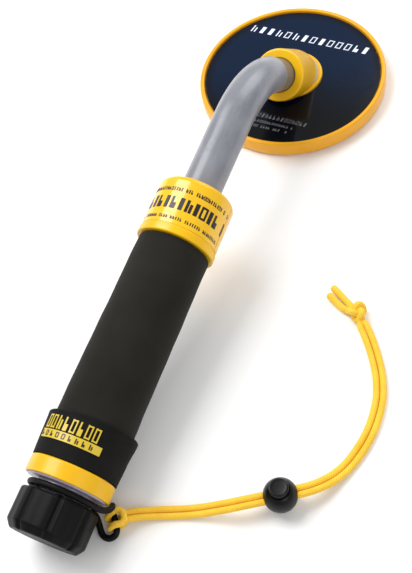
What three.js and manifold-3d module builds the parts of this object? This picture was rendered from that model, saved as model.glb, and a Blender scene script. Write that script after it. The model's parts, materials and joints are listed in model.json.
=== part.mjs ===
// Waterproof pinpointer probe: a round search disc on a bent neck tube, a sleeved pipe handle that
// holds the electronics and a 9 V battery, a screw-on rear knob and a doubled wrist lanyard.
// Millimetres, +Z up. The origin is the middle of the disc's flat underside. The handle points
// towards -Y and the whole probe stands on the disc and on the knob's rear edge.
import * as THREE from 'three';
import { mergeVertices } from 'three/addons/utils/BufferGeometryUtils.js';
import Module from 'manifold-3d';

const wasm = await Module();
wasm.setup();

// Clearances
const seatGap = 0.3; // between pieces that touch
const turnGap = 0.5; // round pieces that turn past each other

// Search disc
const discRadius = 70;
const discHeight = 13.4;
const dishFloor = 2.6;
const dishCornerRadius = 4;
const rimWidth = 3.8;
const rimDepth = 1.7; // from the rim's top down to the label
const coverThickness = 2;
const coverLedge = 3.2;
const labelThickness = 0.3;
const cableHoleRadius = 7.5;

// Coil inside the disc
const coilRadius = 56;
const coilWidth = 5;
const coilHeight = 3.4;
const formerWall = 1.6;
const pottingHeight = 3.5;
const pottingInset = 2; // from the cable's hole out to the potting

// Hub that joins the neck tube to the disc
const hubAngle = THREE.MathUtils.degToRad(45); // of the socket above the disc
const hubRadius = 19;
const hubLength = 31; // from the disc's face to the mouth, along the socket
const hubLipRound = 2;
const socketDepth = 11.5;
const flangeRadius = 22.8;
const flangeHeight = 2.2;
const flangeRound = 1;
const sealHeight = 0.6;
const sealRadius = 19.6;

// Neck tube
const neckTubeRadius = 13.35;
const neckTubeBore = 10.4;
const bendRadius = 75;
const neckTubeStraight = 59.6; // between the bend and the front collar
const neckTubeInsert = 14.7; // inside the front collar
const cableRadius = 2.2;

// Handle
const handlePitch = THREE.MathUtils.degToRad(8.15);
const pipeRadius = 21.1;
const pipeWall = 3.5;
const collarWall = 4.1; // over the pipe
const collarRadius = pipeRadius + seatGap + collarWall;
const collarLength = 41;
const collarRound = 3;
const collarLipHeight = 0.8;
const collarLipChamfer = 0.6;
const collarLipLength = 5;
const collarShoulder = 3.3; // the wall between the two sockets
const collarLabelThickness = 0.25;
const collarLabelMargin = 1.2;
const sleeveLength = 152.8;
const sleeveFrontRadius = pipeRadius + seatGap + 2.6;
const sleeveRearRadius = sleeveFrontRadius + 1.2;
const cuffLength = 29.2;
const cuffFrontThickness = 2.9;
const cuffRearThickness = 1.6;
const cuffChamfer = 1.5;
const rearCollarRadius = sleeveRearRadius + 1.7;
const rearCollarLength = 11;
const rearCollarRound = 1.2;

// Threaded insert that closes the pipe and carries the knob
const insertPlugLength = 13;
const insertFlangeRadius = pipeRadius + 3.9;
const insertFlangeThickness = 3;
const insertFlangeProud = 0.9; // behind the rear collar's end
const insertWall = 2.2;
const threadRadius = pipeRadius - 2.6;
const insertBore = threadRadius - insertWall;
const threadLength = 19.7; // behind the flange
const sealCord = 1.2; // thickness of the ring seal
const sealStretch = 0.2; // of the ring seal over its groove
const sealSetback = 9.5; // behind the flange

// Knob
const knobRadius = pipeRadius + 3.5;
const knobLength = 25.1;
const knobGap = 7.4; // between the insert's flange and the knob
const knobLobes = 8;
const grooveDepth = 1.5;
const grooveShare = 0.26; // of the way from one lobe to the next
const knobChamfer = 4;
const knobFrontRound = 1.2;
const knobCavityDepth = 16;
const springCupRadius = 10;
const springCupDepth = 4.6;

// Battery and its contacts
const batteryWidth = 26.5;
const batteryThickness = 17.5;
const batteryBody = 45.4;
const studHeight = 3;
const studRadius = 3.2;
const studSpacing = 12.7;
const studRoot = 1; // of each stud, inside the case
const batteryRecess = 1.8; // from the thread's end in to the battery
const snapThickness = 4;
const snapMargin = 0.5; // all round, inside the battery's outline
const cradleLength = 26;
const contactPlateRadius = springCupRadius - 1.5;
const contactPlateThickness = 1.2;
const contactSpringRadius = 5;
const contactSpringTip = 3.2;
const contactSpringWire = 0.5;
const contactSpringTurns = 4;

// Electronics
const bulkheadThickness = 9;
const bulkheadSetback = 3; // behind the pipe's front end
const boardLength = 58;
const boardWidth = 29;
const boardThickness = 1.6;
const boardDrop = 1.2; // of the board's upper face below the axis
const boardSetback = 6; // behind the bulkhead
const boardNotch = 2; // cut into the board's front edge round the cable
const cableTailGap = 1; // from the cable's end to the board
const capacitorRadius = 4.2;
const capacitorLength = 14;
const capacitorPlace = [-7, 14]; // across the board and behind its front edge
const chipSize = [9, 3.4, 11];
const chipPlace = [6, 14];
const trimmerSize = [7, 9.5, 9.5];
const trimmerPlace = [-6, 32];
const switchSize = [10, 4.4, 14];
const switchPlace = [6, 34];
const motorRadius = 6;
const motorLength = 17;
const motorSetback = 21; // behind the board
const motorShaftRadius = 1;
const motorShaftLength = 18;
const motorShaftHole = 6; // deep
const weightRadius = 5.4;
const weightLength = 6;
const weightSetback = 1; // from the shaft's free end
const clampThickness = 6;
const clampSetback = 2; // from the motor's rear face
const foamThickness = 7;
const foamInset = 1; // from the battery's wide face in to the foam's edge

// Lanyard
const cordRadius = 2;
const cordRest = cordRadius + 0.1; // height of a strand's middle on the floor
const strandSpacing = 4.3;
const tetherRadius = 2;
const hitchRadius = 5.7;
const hitchLength = 12;
const hitchRound = 2.5;
const hitchStraight = 2; // of the tether beyond the hitch's ends
const hitchEndWall = 1.6;
const hitchHeight = 6.2; // of its middle above the floor
const hitchAside = 3.6; // from the knob's widest point to the hitch's middle
const hitchForward = 2.4; // of the middle of the tether's loop
const knotRadii = [7.2, 6, 5.2];
const knotTurn = 130; // degrees
const lockRadius = 10.5;
const plungerRadius = 5.8;
const plungerTravel = 2.6;
const plungerWeb = 1.2; // below the plunger's slot
const buttonProud = 3; // above the ball's top when released
const lockSpringRadius = 3.4;
const lockSpringWire = 0.4;
const lockSpringTurns = 2;
const springPocketRadius = 4.4;
const lockFloor = 1.5;
const buttonChamfer = 1;

const finish = {
  yellowPlastic: { color: 0xf0b823, roughness: 0.32, metalness: 0 },
  yellowGloss: { color: 0xe6a823, roughness: 0.22, metalness: 0 },
  greyPlastic: { color: 0x95979e, roughness: 0.42, metalness: 0 },
  whitePlastic: { color: 0xd8d8da, roughness: 0.5, metalness: 0 },
  blackPlastic: { color: 0x1c1c1e, roughness: 0.45, metalness: 0 },
  neoprene: { color: 0x23221f, roughness: 0.9, metalness: 0 },
  rubber: { color: 0x151516, roughness: 0.7, metalness: 0 },
  navyLabel: { color: 0x0e1830, roughness: 0.15, metalness: 0 },
  yellowLabel: { color: 0xe8bd3a, roughness: 0.3, metalness: 0 },
  yellowCord: { color: 0xf4c84f, roughness: 0.8, metalness: 0 },
  copper: { color: 0xb06a35, roughness: 0.35, metalness: 0.9 },
  steel: { color: 0xb4b6ba, roughness: 0.3, metalness: 0.9 },
  brass: { color: 0xc0a050, roughness: 0.35, metalness: 0.9 },
  epoxy: { color: 0x2b2a2c, roughness: 0.5, metalness: 0 },
  boardGreen: { color: 0x1f5a35, roughness: 0.5, metalness: 0 },
  foam: { color: 0x4a4a4d, roughness: 0.95, metalness: 0 },
};

const group = new THREE.Group();
const handle = new THREE.Group();
group.add(handle);

// Merges what coincides, drops faces without area and turns every face outwards.
function closed(geometry) {
  geometry.deleteAttribute('normal');
  geometry.deleteAttribute('uv');
  const merged = mergeVertices(geometry, 1e-4);
  const place = merged.attributes.position;
  const corner = [new THREE.Vector3(), new THREE.Vector3(), new THREE.Vector3()];
  const kept = [];
  let volume = 0;
  for (let i = 0; i < merged.index.count; i += 3) {
    const face = [0, 1, 2].map((k) => merged.index.getX(i + k));
    if (new Set(face).size < 3) continue;
    face.forEach((v, k) => corner[k].fromBufferAttribute(place, v));
    volume += corner[0].dot(corner[1].cross(corner[2]));
    kept.push(face);
  }
  merged.setIndex(kept.flatMap(([a, b, c]) => (volume < 0 ? [a, c, b] : [a, b, c])));
  merged.computeVertexNormals();
  return merged;
}

function piece(parent, name, geometry, look) {
  const mesh = new THREE.Mesh(closed(geometry), new THREE.MeshStandardMaterial(finish[look]));
  mesh.name = name;
  parent.add(mesh);
  return mesh;
}

function toManifold(geometry) {
  const clean = closed(geometry);
  return new wasm.Manifold(new wasm.Mesh({
    numProp: 3,
    vertProperties: new Float32Array(clean.attributes.position.array),
    triVerts: new Uint32Array(clean.index.array),
  }));
}

function fromManifold(manifold) {
  const made = manifold.getMesh();
  const geometry = new THREE.BufferGeometry();
  geometry.setAttribute('position', new THREE.BufferAttribute(made.vertProperties, 3));
  geometry.setIndex(new THREE.BufferAttribute(made.triVerts, 1));
  return geometry;
}

// A ring or solid turned about Z from its [radius, height] outline.
function turned(outline, sides = 36) {
  const points = [...outline, outline[0]].map(([r, z]) => new THREE.Vector2(r, z));
  return new THREE.LatheGeometry(points, sides).rotateX(Math.PI / 2);
}

function sleeveShape(outer, inner, low, high, sides) {
  return turned([[inner, low], [outer, low], [outer, high], [inner, high]], sides);
}

function rod(radius, low, high, sides = 24) {
  return turned([[0, low], [radius, low], [radius, high], [0, high]], sides);
}

// The outline of a rounded corner from one angle to another, in degrees.
function roundCorner(middleR, middleZ, radius, from, to, steps = 3) {
  return Array.from({ length: steps + 1 }, (_, i) => {
    const angle = THREE.MathUtils.degToRad(from + ((to - from) * i) / steps);
    return [middleR + radius * Math.cos(angle), middleZ + radius * Math.sin(angle)];
  });
}

function circle(radius, sides) {
  const corners = Array.from({ length: sides }, (_, i) => {
    const angle = (i / sides) * 2 * Math.PI;
    return new THREE.Vector2(radius * Math.cos(angle), radius * Math.sin(angle));
  });
  return new THREE.Shape(corners);
}

function swept(curve, radius, sides, steps, bore = 0) {
  const section = circle(radius, sides);
  if (bore) section.holes.push(circle(bore, sides));
  return new THREE.ExtrudeGeometry(section, { steps, extrudePath: curve });
}

function box(width, depth, height, x, y, z) {
  return new THREE.BoxGeometry(width, depth, height).translate(x, y, z);
}

// Heights in the disc
const rimTop = discHeight;
const labelTop = rimTop - rimDepth;
const labelBottom = labelTop - labelThickness;
const coverTop = labelBottom - seatGap;
const coverBottom = coverTop - coverThickness;
const coverRadius = discRadius - rimWidth;

function searchDisc() {
  const seat = coverBottom - seatGap;
  const ledgeRadius = coverRadius + seatGap - coverLedge;
  const dish = [
    [0, 0],
    ...roundCorner(discRadius - dishCornerRadius, dishCornerRadius, dishCornerRadius, -90, 0),
    ...roundCorner(discRadius - rimWidth / 2, rimTop - rimWidth / 2, rimWidth / 2 - seatGap, 0, 180, 5)
      .map(([r, z]) => [r + seatGap / 2, z + seatGap]),
    [coverRadius + seatGap, seat],
    [ledgeRadius, seat],
    [ledgeRadius, dishFloor],
    [0, dishFloor],
  ];
  piece(group, 'disc_dish', turned(dish, 48), 'yellowGloss');
  const cover = sleeveShape(coverRadius, cableHoleRadius, coverBottom, coverTop, 40);
  piece(group, 'disc_cover', cover, 'yellowPlastic');
  const label = sleeveShape(coverRadius - seatGap, flangeRadius + seatGap, labelBottom, labelTop, 48);
  piece(group, 'disc_face_label', label, 'navyLabel');
}

function searchCoil() {
  const base = dishFloor + seatGap;
  const inner = coilRadius - coilWidth / 2;
  const outer = coilRadius + coilWidth / 2;
  const channel = base + formerWall;
  const former = [
    [inner - formerWall, base],
    [outer + formerWall, base],
    [outer + formerWall, channel + coilHeight],
    [outer + seatGap, channel + coilHeight],
    [outer + seatGap, channel],
    [inner - seatGap, channel],
    [inner - seatGap, channel + coilHeight],
    [inner - formerWall, channel + coilHeight],
  ];
  piece(group, 'coil_former', turned(former, 32), 'whitePlastic');
  const windingBase = channel + seatGap;
  const winding = sleeveShape(outer, inner, windingBase, windingBase + coilHeight - seatGap, 32);
  piece(group, 'coil_winding', winding, 'copper');
  const pottingOuter = inner - formerWall - seatGap;
  const potting = sleeveShape(pottingOuter, cableHoleRadius + pottingInset, base, base + pottingHeight, 24);
  piece(group, 'coil_potting', potting, 'epoxy');
}

// The hub's foot: a round flange on the cover, a thin seal, then the socket.
const flangeBase = coverTop + seatGap;
const flangeTop = flangeBase + flangeHeight;
const sealBase = flangeTop + seatGap;
const hubBase = sealBase + sealHeight + seatGap;
const hubCentre = new THREE.Vector3(0, 0, labelTop);
const hubAxis = new THREE.Vector3(0, -Math.cos(hubAngle), Math.sin(hubAngle));

function alongHub(geometry) {
  return geometry.rotateX(Math.PI / 2 - hubAngle).translate(0, 0, hubCentre.z);
}

function hub() {
  const flange = turned([
    [cableHoleRadius, flangeBase],
    [flangeRadius, flangeBase],
    ...roundCorner(flangeRadius - flangeRound, flangeTop - flangeRound, flangeRound, 0, 90, 2),
    [cableHoleRadius, flangeTop],
  ], 36);
  piece(group, 'hub_flange', flange, 'yellowPlastic');
  const seal = sleeveShape(sealRadius, cableHoleRadius, sealBase, sealBase + sealHeight, 32);
  piece(group, 'hub_seal', seal, 'whitePlastic');
  const barrel = alongHub(turned([
    [0, 0],
    [hubRadius, 0],
    ...roundCorner(hubRadius - hubLipRound, hubLength - hubLipRound, hubLipRound, 0, 90),
    [0, hubLength],
  ], 32));
  const heel = new THREE.SphereGeometry(hubRadius, 28, 16).translate(0, 0, hubCentre.z);
  const bore = neckTubeRadius + seatGap;
  const socket = alongHub(rod(bore, hubLength - socketDepth, hubLength + hubRadius, 32));
  const passage = alongHub(rod(cableHoleRadius, 0, hubLength, 20));
  const well = rod(cableHoleRadius, -hubRadius, hubCentre.z + cableHoleRadius, 20);
  const below = box(6 * hubRadius, 6 * hubRadius, 4 * hubRadius, 0, 0, hubBase - 2 * hubRadius);
  const elbow = toManifold(barrel)
    .add(toManifold(heel))
    .subtract(toManifold(socket))
    .subtract(toManifold(passage))
    .subtract(toManifold(well))
    .subtract(toManifold(below));
  piece(group, 'hub_elbow', fromManifold(elbow), 'yellowPlastic');
}

// Places along the handle, as distances behind the front collar's front face.
const pipeStart = neckTubeInsert + collarShoulder + seatGap;
const sleeveStart = collarLength + seatGap;
const sleeveEnd = sleeveStart + sleeveLength;
const rearCollarStart = sleeveEnd + seatGap;
const rearCollarEnd = rearCollarStart + rearCollarLength;
const flangeEnd = rearCollarEnd + insertFlangeProud;
const flangeStart = flangeEnd - insertFlangeThickness;
const pipeEnd = flangeStart - seatGap;
const threadEnd = flangeEnd + threadLength;
const knobStart = flangeEnd + knobGap;
const knobEnd = knobStart + knobLength;
const pipeBore = pipeRadius - pipeWall;

// The bend ends on the hub's axis as high as it takes for the knob's edge to touch the floor.
const bendAngle = hubAngle + handlePitch;
const restingEdge = neckTubeStraight + knobEnd - knobChamfer;
const bendDrop = bendRadius * (Math.cos(handlePitch) - Math.cos(hubAngle));
const edgeHeight = restingEdge * Math.sin(handlePitch) + knobRadius * Math.cos(handlePitch);
const bendEndHeight = edgeHeight - bendDrop;
const hubStem = (bendEndHeight - hubCentre.z) / Math.sin(hubAngle);
const bendEnd = hubCentre.clone().addScaledVector(hubAxis, hubStem);
const bendStart = bendEnd.clone().add(new THREE.Vector3(
  0,
  -bendRadius * (Math.sin(hubAngle) + Math.sin(handlePitch)),
  bendDrop,
));
const forward = new THREE.Vector3(0, Math.cos(handlePitch), Math.sin(handlePitch));
const collarFront = bendStart.clone().addScaledVector(forward, -neckTubeStraight);
handle.position.copy(collarFront);
handle.rotation.x = handlePitch - Math.PI / 2;

// The middle line from inside the handle, round the bend and down the hub's axis.
class NeckLine extends THREE.Curve {
  constructor(insideHandle, shortOfHub) {
    super();
    this.start = insideHandle + neckTubeStraight;
    this.arc = bendRadius * bendAngle;
    this.end = hubStem - shortOfHub;
    this.total = this.start + this.arc + this.end;
  }

  getPoint(share, target = new THREE.Vector3()) {
    const along = share * this.total - this.start;
    if (along <= 0) return target.copy(bendStart).addScaledVector(forward, along);
    if (along >= this.arc) return target.copy(bendEnd).addScaledVector(hubAxis, this.arc - along);
    const turn = along / bendRadius;
    const ahead = bendRadius * Math.sin(turn);
    const drop = bendRadius * (1 - Math.cos(turn));
    return target.copy(bendStart).add(new THREE.Vector3(
      0,
      ahead * forward.y + drop * forward.z,
      ahead * forward.z - drop * forward.y,
    ));
  }
}

function neck() {
  const tubeLine = new NeckLine(neckTubeInsert, hubLength - socketDepth + seatGap);
  piece(group, 'neck_tube', swept(tubeLine, neckTubeRadius, 24, 18, neckTubeBore), 'greyPlastic');
  const cableInside = pipeStart + bulkheadSetback + bulkheadThickness + boardSetback - cableTailGap;
  const cableLine = new NeckLine(cableInside, 0);
  piece(group, 'coil_cable', swept(cableLine, cableRadius, 8, 22), 'blackPlastic');
}

// Everything below lies along the handle: distance d behind the front face is z = -d.
function frontCollar() {
  const lipRadius = collarRadius + collarLipHeight;
  const outline = [
    [neckTubeRadius + seatGap, 0],
    ...roundCorner(collarRadius - collarRound, -collarRound, collarRound, 90, 0),
    [collarRadius, collarLipLength - collarLength],
    [lipRadius, collarLipLength - collarLength - collarLipChamfer],
    [lipRadius, -collarLength + collarLipChamfer],
    [lipRadius - collarLipChamfer, -collarLength],
    [pipeRadius + seatGap, -collarLength],
    [pipeRadius + seatGap, seatGap - pipeStart],
    [neckTubeBore, seatGap - pipeStart],
    [neckTubeBore, -neckTubeInsert - seatGap],
    [neckTubeRadius + seatGap, -neckTubeInsert - seatGap],
  ];
  piece(handle, 'front_collar', turned(outline, 36), 'yellowPlastic');
  const labelInner = collarRadius + seatGap;
  const labelEnd = collarLipLength - collarLength + collarLabelMargin;
  const label = sleeveShape(
    labelInner + collarLabelThickness, labelInner, labelEnd, -collarRound - collarLabelMargin, 36,
  );
  piece(handle, 'collar_label', label, 'yellowLabel');
}

function handlePipe() {
  piece(handle, 'body_tube', sleeveShape(pipeRadius, pipeBore, -pipeEnd, -pipeStart, 36), 'greyPlastic');
  const inner = pipeRadius + seatGap;
  const sleeve = turned([
    [inner, -sleeveStart], [inner, -sleeveEnd], [sleeveRearRadius, -sleeveEnd],
    [sleeveFrontRadius, -sleeveStart],
  ]);
  piece(handle, 'grip_sleeve', sleeve, 'neoprene');
  const sleeveSlope = (sleeveRearRadius - sleeveFrontRadius) / sleeveLength;
  const cuffStart = sleeveEnd - cuffLength;
  const cuffFront = sleeveRearRadius - sleeveSlope * cuffLength + seatGap;
  const cuffRear = sleeveRearRadius + seatGap;
  const cuff = turned([
    [cuffFront, -cuffStart], [cuffRear, -sleeveEnd], [cuffRear + cuffRearThickness, -sleeveEnd],
    [cuffFront + cuffFrontThickness, -cuffStart - cuffChamfer],
    [cuffFront + cuffFrontThickness - cuffChamfer, -cuffStart],
  ]);
  piece(handle, 'grip_cuff', cuff, 'neoprene');
}

function rearEnd() {
  const counterbore = insertFlangeRadius + seatGap;
  const corner = rearCollarRadius - rearCollarRound;
  const collar = turned([
    [pipeRadius + seatGap, -rearCollarStart],
    ...roundCorner(corner, -rearCollarStart - rearCollarRound, rearCollarRound, 90, 0, 2),
    ...roundCorner(corner, -rearCollarEnd + rearCollarRound, rearCollarRound, 0, -90, 2),
    [counterbore, -rearCollarEnd],
    [counterbore, -pipeEnd],
    [pipeRadius + seatGap, -pipeEnd],
  ], 36);
  piece(handle, 'rear_collar', collar, 'yellowPlastic');
  const sealRing = threadRadius - sealCord - sealStretch / 2;
  const sealPlace = flangeEnd + sealSetback;
  const insert = turned([
    [insertBore, insertPlugLength - flangeStart],
    [pipeBore - seatGap, insertPlugLength - flangeStart],
    [pipeBore - seatGap, -flangeStart],
    [insertFlangeRadius, -flangeStart],
    [insertFlangeRadius, -flangeEnd],
    [threadRadius, -flangeEnd],
    [threadRadius, sealCord - sealPlace],
    [sealRing, sealCord - sealPlace],
    [sealRing, -sealPlace - sealCord],
    [threadRadius, -sealPlace - sealCord],
    [threadRadius, -threadEnd],
    [insertBore, -threadEnd],
  ], 40);
  piece(handle, 'threaded_insert', insert, 'greyPlastic');
  const half = sealCord / 2;
  const seal = turned(roundCorner(sealRing + sealStretch + half, -sealPlace, half, 0, 300, 5), 28);
  piece(handle, 'knob_seal_ring', seal, 'rubber');
}

function knobOutline() {
  const perLobe = 8;
  const corners = Array.from({ length: knobLobes * perLobe }, (_, i) => {
    const inLobe = (i % perLobe) / perLobe;
    const fromGroove = Math.min(inLobe, 1 - inLobe) / (grooveShare / 2);
    const depth = fromGroove < 1 ? grooveDepth * Math.cos((fromGroove * Math.PI) / 2) : 0;
    const angle = ((i / perLobe + 0.5) / knobLobes) * 2 * Math.PI;
    return new THREE.Vector2((knobRadius - depth) * Math.cos(angle), (knobRadius - depth) * Math.sin(angle));
  });
  return new THREE.Shape(corners);
}

const knobCavityRadius = threadRadius + turnGap;
const springCupFloor = knobStart + knobCavityDepth + springCupDepth;

function knob() {
  const blank = new THREE.ExtrudeGeometry(knobOutline(), { depth: knobLength, bevelEnabled: false })
    .translate(0, 0, -knobEnd);
  const envelope = turned([
    [0, -knobEnd],
    [knobRadius - knobChamfer, -knobEnd],
    [knobRadius, knobChamfer - knobEnd],
    [knobRadius, -knobStart - knobFrontRound],
    [knobRadius - knobFrontRound, -knobStart],
    [0, -knobStart],
  ], 64);
  const cavity = rod(knobCavityRadius, -knobStart - knobCavityDepth, -knobStart + 1, 40);
  const springCup = rod(springCupRadius, -springCupFloor, -knobStart, 32);
  const cap = toManifold(blank)
    .intersect(toManifold(envelope))
    .subtract(toManifold(cavity))
    .subtract(toManifold(springCup));
  piece(handle, 'rear_knob', fromManifold(cap), 'blackPlastic');
}

// A coil spring about Z with a round wire.
class SpringLine extends THREE.Curve {
  constructor(radius, turns, low, high, tipRadius = radius) {
    super();
    Object.assign(this, { radius, turns, low, high, tipRadius });
  }

  getPoint(share, target = new THREE.Vector3()) {
    const angle = share * this.turns * 2 * Math.PI;
    const reach = THREE.MathUtils.lerp(this.radius, this.tipRadius, share);
    const height = THREE.MathUtils.lerp(this.low, this.high, share);
    return target.set(reach * Math.cos(angle), reach * Math.sin(angle), height);
  }
}

const batteryRear = threadEnd - batteryRecess;
const batteryFront = batteryRear - batteryBody;
const snapRear = batteryFront - studHeight - seatGap;

function battery() {
  const middle = (batteryRear + batteryFront) / 2;
  let cell = toManifold(box(batteryWidth, batteryThickness, batteryBody, 0, 0, -middle));
  for (const side of [-1, 1]) {
    const stud = rod(studRadius, -batteryFront - studRoot, studHeight - batteryFront, 12);
    cell = cell.add(toManifold(stud.translate((side * studSpacing) / 2, 0, 0)));
  }
  piece(handle, 'battery_9v', fromManifold(cell), 'blackPlastic');
  const snap = box(
    batteryWidth - 2 * snapMargin, batteryThickness - 2 * snapMargin, snapThickness,
    0, 0, snapThickness / 2 - snapRear,
  );
  piece(handle, 'battery_snap', snap, 'blackPlastic');
  const cradle = circle(pipeBore - seatGap, 32);
  const halfWidth = batteryWidth / 2 + seatGap;
  const halfThickness = batteryThickness / 2 + seatGap;
  cradle.holes.push(new THREE.Shape([[1, 1], [-1, 1], [-1, -1], [1, -1]]
    .map(([x, y]) => new THREE.Vector2(x * halfWidth, y * halfThickness))));
  const cradleEnd = flangeStart - insertPlugLength - seatGap;
  const cradleSolid = new THREE.ExtrudeGeometry(cradle, { depth: cradleLength, bevelEnabled: false })
    .translate(0, 0, -cradleEnd);
  piece(handle, 'battery_cradle', cradleSolid, 'whitePlastic');
  const foamEnd = snapRear - snapThickness - seatGap;
  piece(handle, 'foam_pad', rod(batteryThickness / 2 - foamInset, -foamEnd, foamThickness - foamEnd), 'foam');
}

function knobContact() {
  const plateRear = springCupFloor - seatGap;
  const plateFront = plateRear - contactPlateThickness;
  piece(handle, 'contact_plate', rod(contactPlateRadius, -plateRear, -plateFront), 'brass');
  const reach = contactSpringWire + seatGap;
  const line = new SpringLine(
    contactSpringRadius, contactSpringTurns, reach - plateFront, -reach - batteryRear, contactSpringTip,
  );
  const steps = contactSpringTurns * 10;
  piece(handle, 'contact_spring', swept(line, contactSpringWire, 6, steps), 'steel');
}

const bulkheadStart = pipeStart + bulkheadSetback;
const boardStart = bulkheadStart + bulkheadThickness + boardSetback;
const boardEnd = boardStart + boardLength;
const motorStart = boardEnd + motorSetback;
// In the handle's own axes +Y points down, so parts on the board's upper face lie on the -Y side.
const onBoard = boardDrop - seatGap;

function blockOnBoard([width, height, length], [across, along]) {
  return box(width, height, length, across, onBoard - height / 2, -boardStart - along);
}

function electronics() {
  const plugRadius = pipeBore - seatGap;
  const bulkheadEnd = bulkheadStart + bulkheadThickness;
  const bulkhead = sleeveShape(plugRadius, cableRadius + seatGap, -bulkheadEnd, -bulkheadStart, 32);
  piece(handle, 'front_bulkhead', bulkhead, 'epoxy');
  const boardMiddle = -(boardStart + boardEnd) / 2;
  const boardY = boardDrop + boardThickness / 2;
  const cableRoom = cableRadius + turnGap;
  let board = toManifold(box(boardWidth, boardThickness, boardLength, 0, boardY, boardMiddle));
  const notch = rod(cableRoom, -boardStart - boardNotch, -boardStart + boardNotch, 12);
  board = board.subtract(toManifold(notch));
  piece(handle, 'circuit_board', fromManifold(board), 'boardGreen');
  const [across, along] = capacitorPlace;
  const capacitor = rod(capacitorRadius, -capacitorLength / 2, capacitorLength / 2, 20)
    .translate(across, onBoard - capacitorRadius, -boardStart - along);
  piece(handle, 'storage_capacitor', capacitor, 'blackPlastic');
  piece(handle, 'driver_chip', blockOnBoard(chipSize, chipPlace), 'blackPlastic');
  piece(handle, 'sensitivity_trimmer', blockOnBoard(trimmerSize, trimmerPlace), 'whitePlastic');
  piece(handle, 'coil_switch', blockOnBoard(switchSize, switchPlace), 'blackPlastic');
}

function vibrator() {
  const motorEnd = motorStart + motorLength;
  const shaftHole = motorShaftRadius + turnGap / 2;
  const motor = turned([
    [0, -motorEnd],
    [motorRadius, -motorEnd],
    [motorRadius, -motorStart],
    [shaftHole, -motorStart],
    [shaftHole, -motorStart - motorShaftHole],
    [0, -motorStart - motorShaftHole],
  ], 24);
  piece(handle, 'vibration_motor', motor, 'steel');
  const clampEnd = motorEnd - clampSetback;
  const clamp = sleeveShape(
    pipeBore - seatGap, motorRadius + seatGap, -clampEnd, clampThickness - clampEnd, 32,
  );
  piece(handle, 'motor_clamp', clamp, 'whitePlastic');
  const shaftRear = motorStart + motorShaftHole - turnGap;
  const shaftFront = shaftRear - motorShaftLength;
  piece(handle, 'motor_shaft', rod(motorShaftRadius, -shaftRear, -shaftFront, 12), 'steel');
  const half = new THREE.Shape();
  half.absarc(0, 0, weightRadius, 0, Math.PI, false);
  half.lineTo(-motorShaftRadius - seatGap, 0);
  half.absarc(0, 0, motorShaftRadius + seatGap, Math.PI, 0, true);
  const shape = { depth: weightLength, bevelEnabled: false, curveSegments: 14 };
  const weight = new THREE.ExtrudeGeometry(half, shape)
    .translate(0, 0, -shaftFront - weightLength - weightSetback);
  piece(handle, 'eccentric_weight', weight, 'steel');
}

// The rubber tether loop goes round the threads between the rear collar and the knob, and its
// slack lies beside the knob. Its ends meet inside the lanyard's hitch.
const loopPlace = flangeEnd + knobGap / 2;
const loopMiddle = onHandle(0, 0, loopPlace);
const hitchMiddle = new THREE.Vector3(
  knobRadius + hitchAside, loopMiddle.y + hitchForward, hitchHeight,
);
const hitchAlong = new THREE.Vector3(0.68, -0.733, 0).normalize();

// A point near the handle, from its distance to the axis, its angle from the right-hand side up
// towards the top in degrees, and its distance behind the collar's front face.
function onHandle(radius, angle, behind) {
  const turn = THREE.MathUtils.degToRad(angle);
  return new THREE.Vector3(radius * Math.cos(turn), -radius * Math.sin(turn), -behind)
    .applyEuler(handle.rotation)
    .add(handle.position);
}

function tether() {
  const around = threadRadius + 2 * turnGap + tetherRadius;
  const beside = rearCollarRadius + tetherRadius + turnGap;
  const half = hitchLength / 2;
  const inHitch = [seatGap / 2, half / 2, half, half + hitchStraight];
  const alongHitch = (d) => hitchMiddle.clone().addScaledVector(hitchAlong, d);
  // Past the rear collar's side on the way in and past the knob's side on the way out.
  const wayIn = [[0.9, -42.6, -7.6], [0.4, -33.7, -7.1], [0.2, -23.5, -4], [-2.6, -15.2, -0.5]];
  const wayOut = [[-6, -55.5, 0.4], [-1, -50.7, 3], [2.2, -48.8, 9], [5.3, -43.8, 13], [9.6, -37.3, 11]];
  const leg = ([outwards, angle, back]) => onHandle(beside + outwards, angle, loopPlace + back);
  const ringAngles = [10, 40, 70, 100, 130, 160, 190, 220, 250, 280];
  const ring = ringAngles.map((angle) => onHandle(around, angle, loopPlace));
  const line = new THREE.CatmullRomCurve3([
    ...inHitch.map((d) => alongHitch(-d)),
    ...wayIn.map(leg),
    ...ring,
    ...wayOut.map(leg),
    ...inHitch.reverse().map(alongHitch),
  ], false, 'centripetal');
  piece(group, 'tether_loop', swept(line, tetherRadius, 8, 76), 'rubber');
  const hole = tetherRadius + turnGap;
  const hitch = turned([
    [hole, -half],
    [hole + hitchEndWall, -half],
    [hitchRadius, hitchRound - half],
    [hitchRadius, half - hitchRound],
    [hole + hitchEndWall, half],
    [hole, half],
  ], 20);
  const up = new THREE.Vector3(0, 0, 1);
  hitch.applyQuaternion(new THREE.Quaternion().setFromUnitVectors(up, hitchAlong));
  piece(group, 'lanyard_hitch', hitch.translate(...hitchMiddle), 'yellowCord');
}

// The lanyard lies on the floor in its own frame, with the hitch above its origin.
const lanyard = new THREE.Group();
lanyard.position.set(hitchMiddle.x, hitchMiddle.y, 0);
group.add(lanyard);

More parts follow.
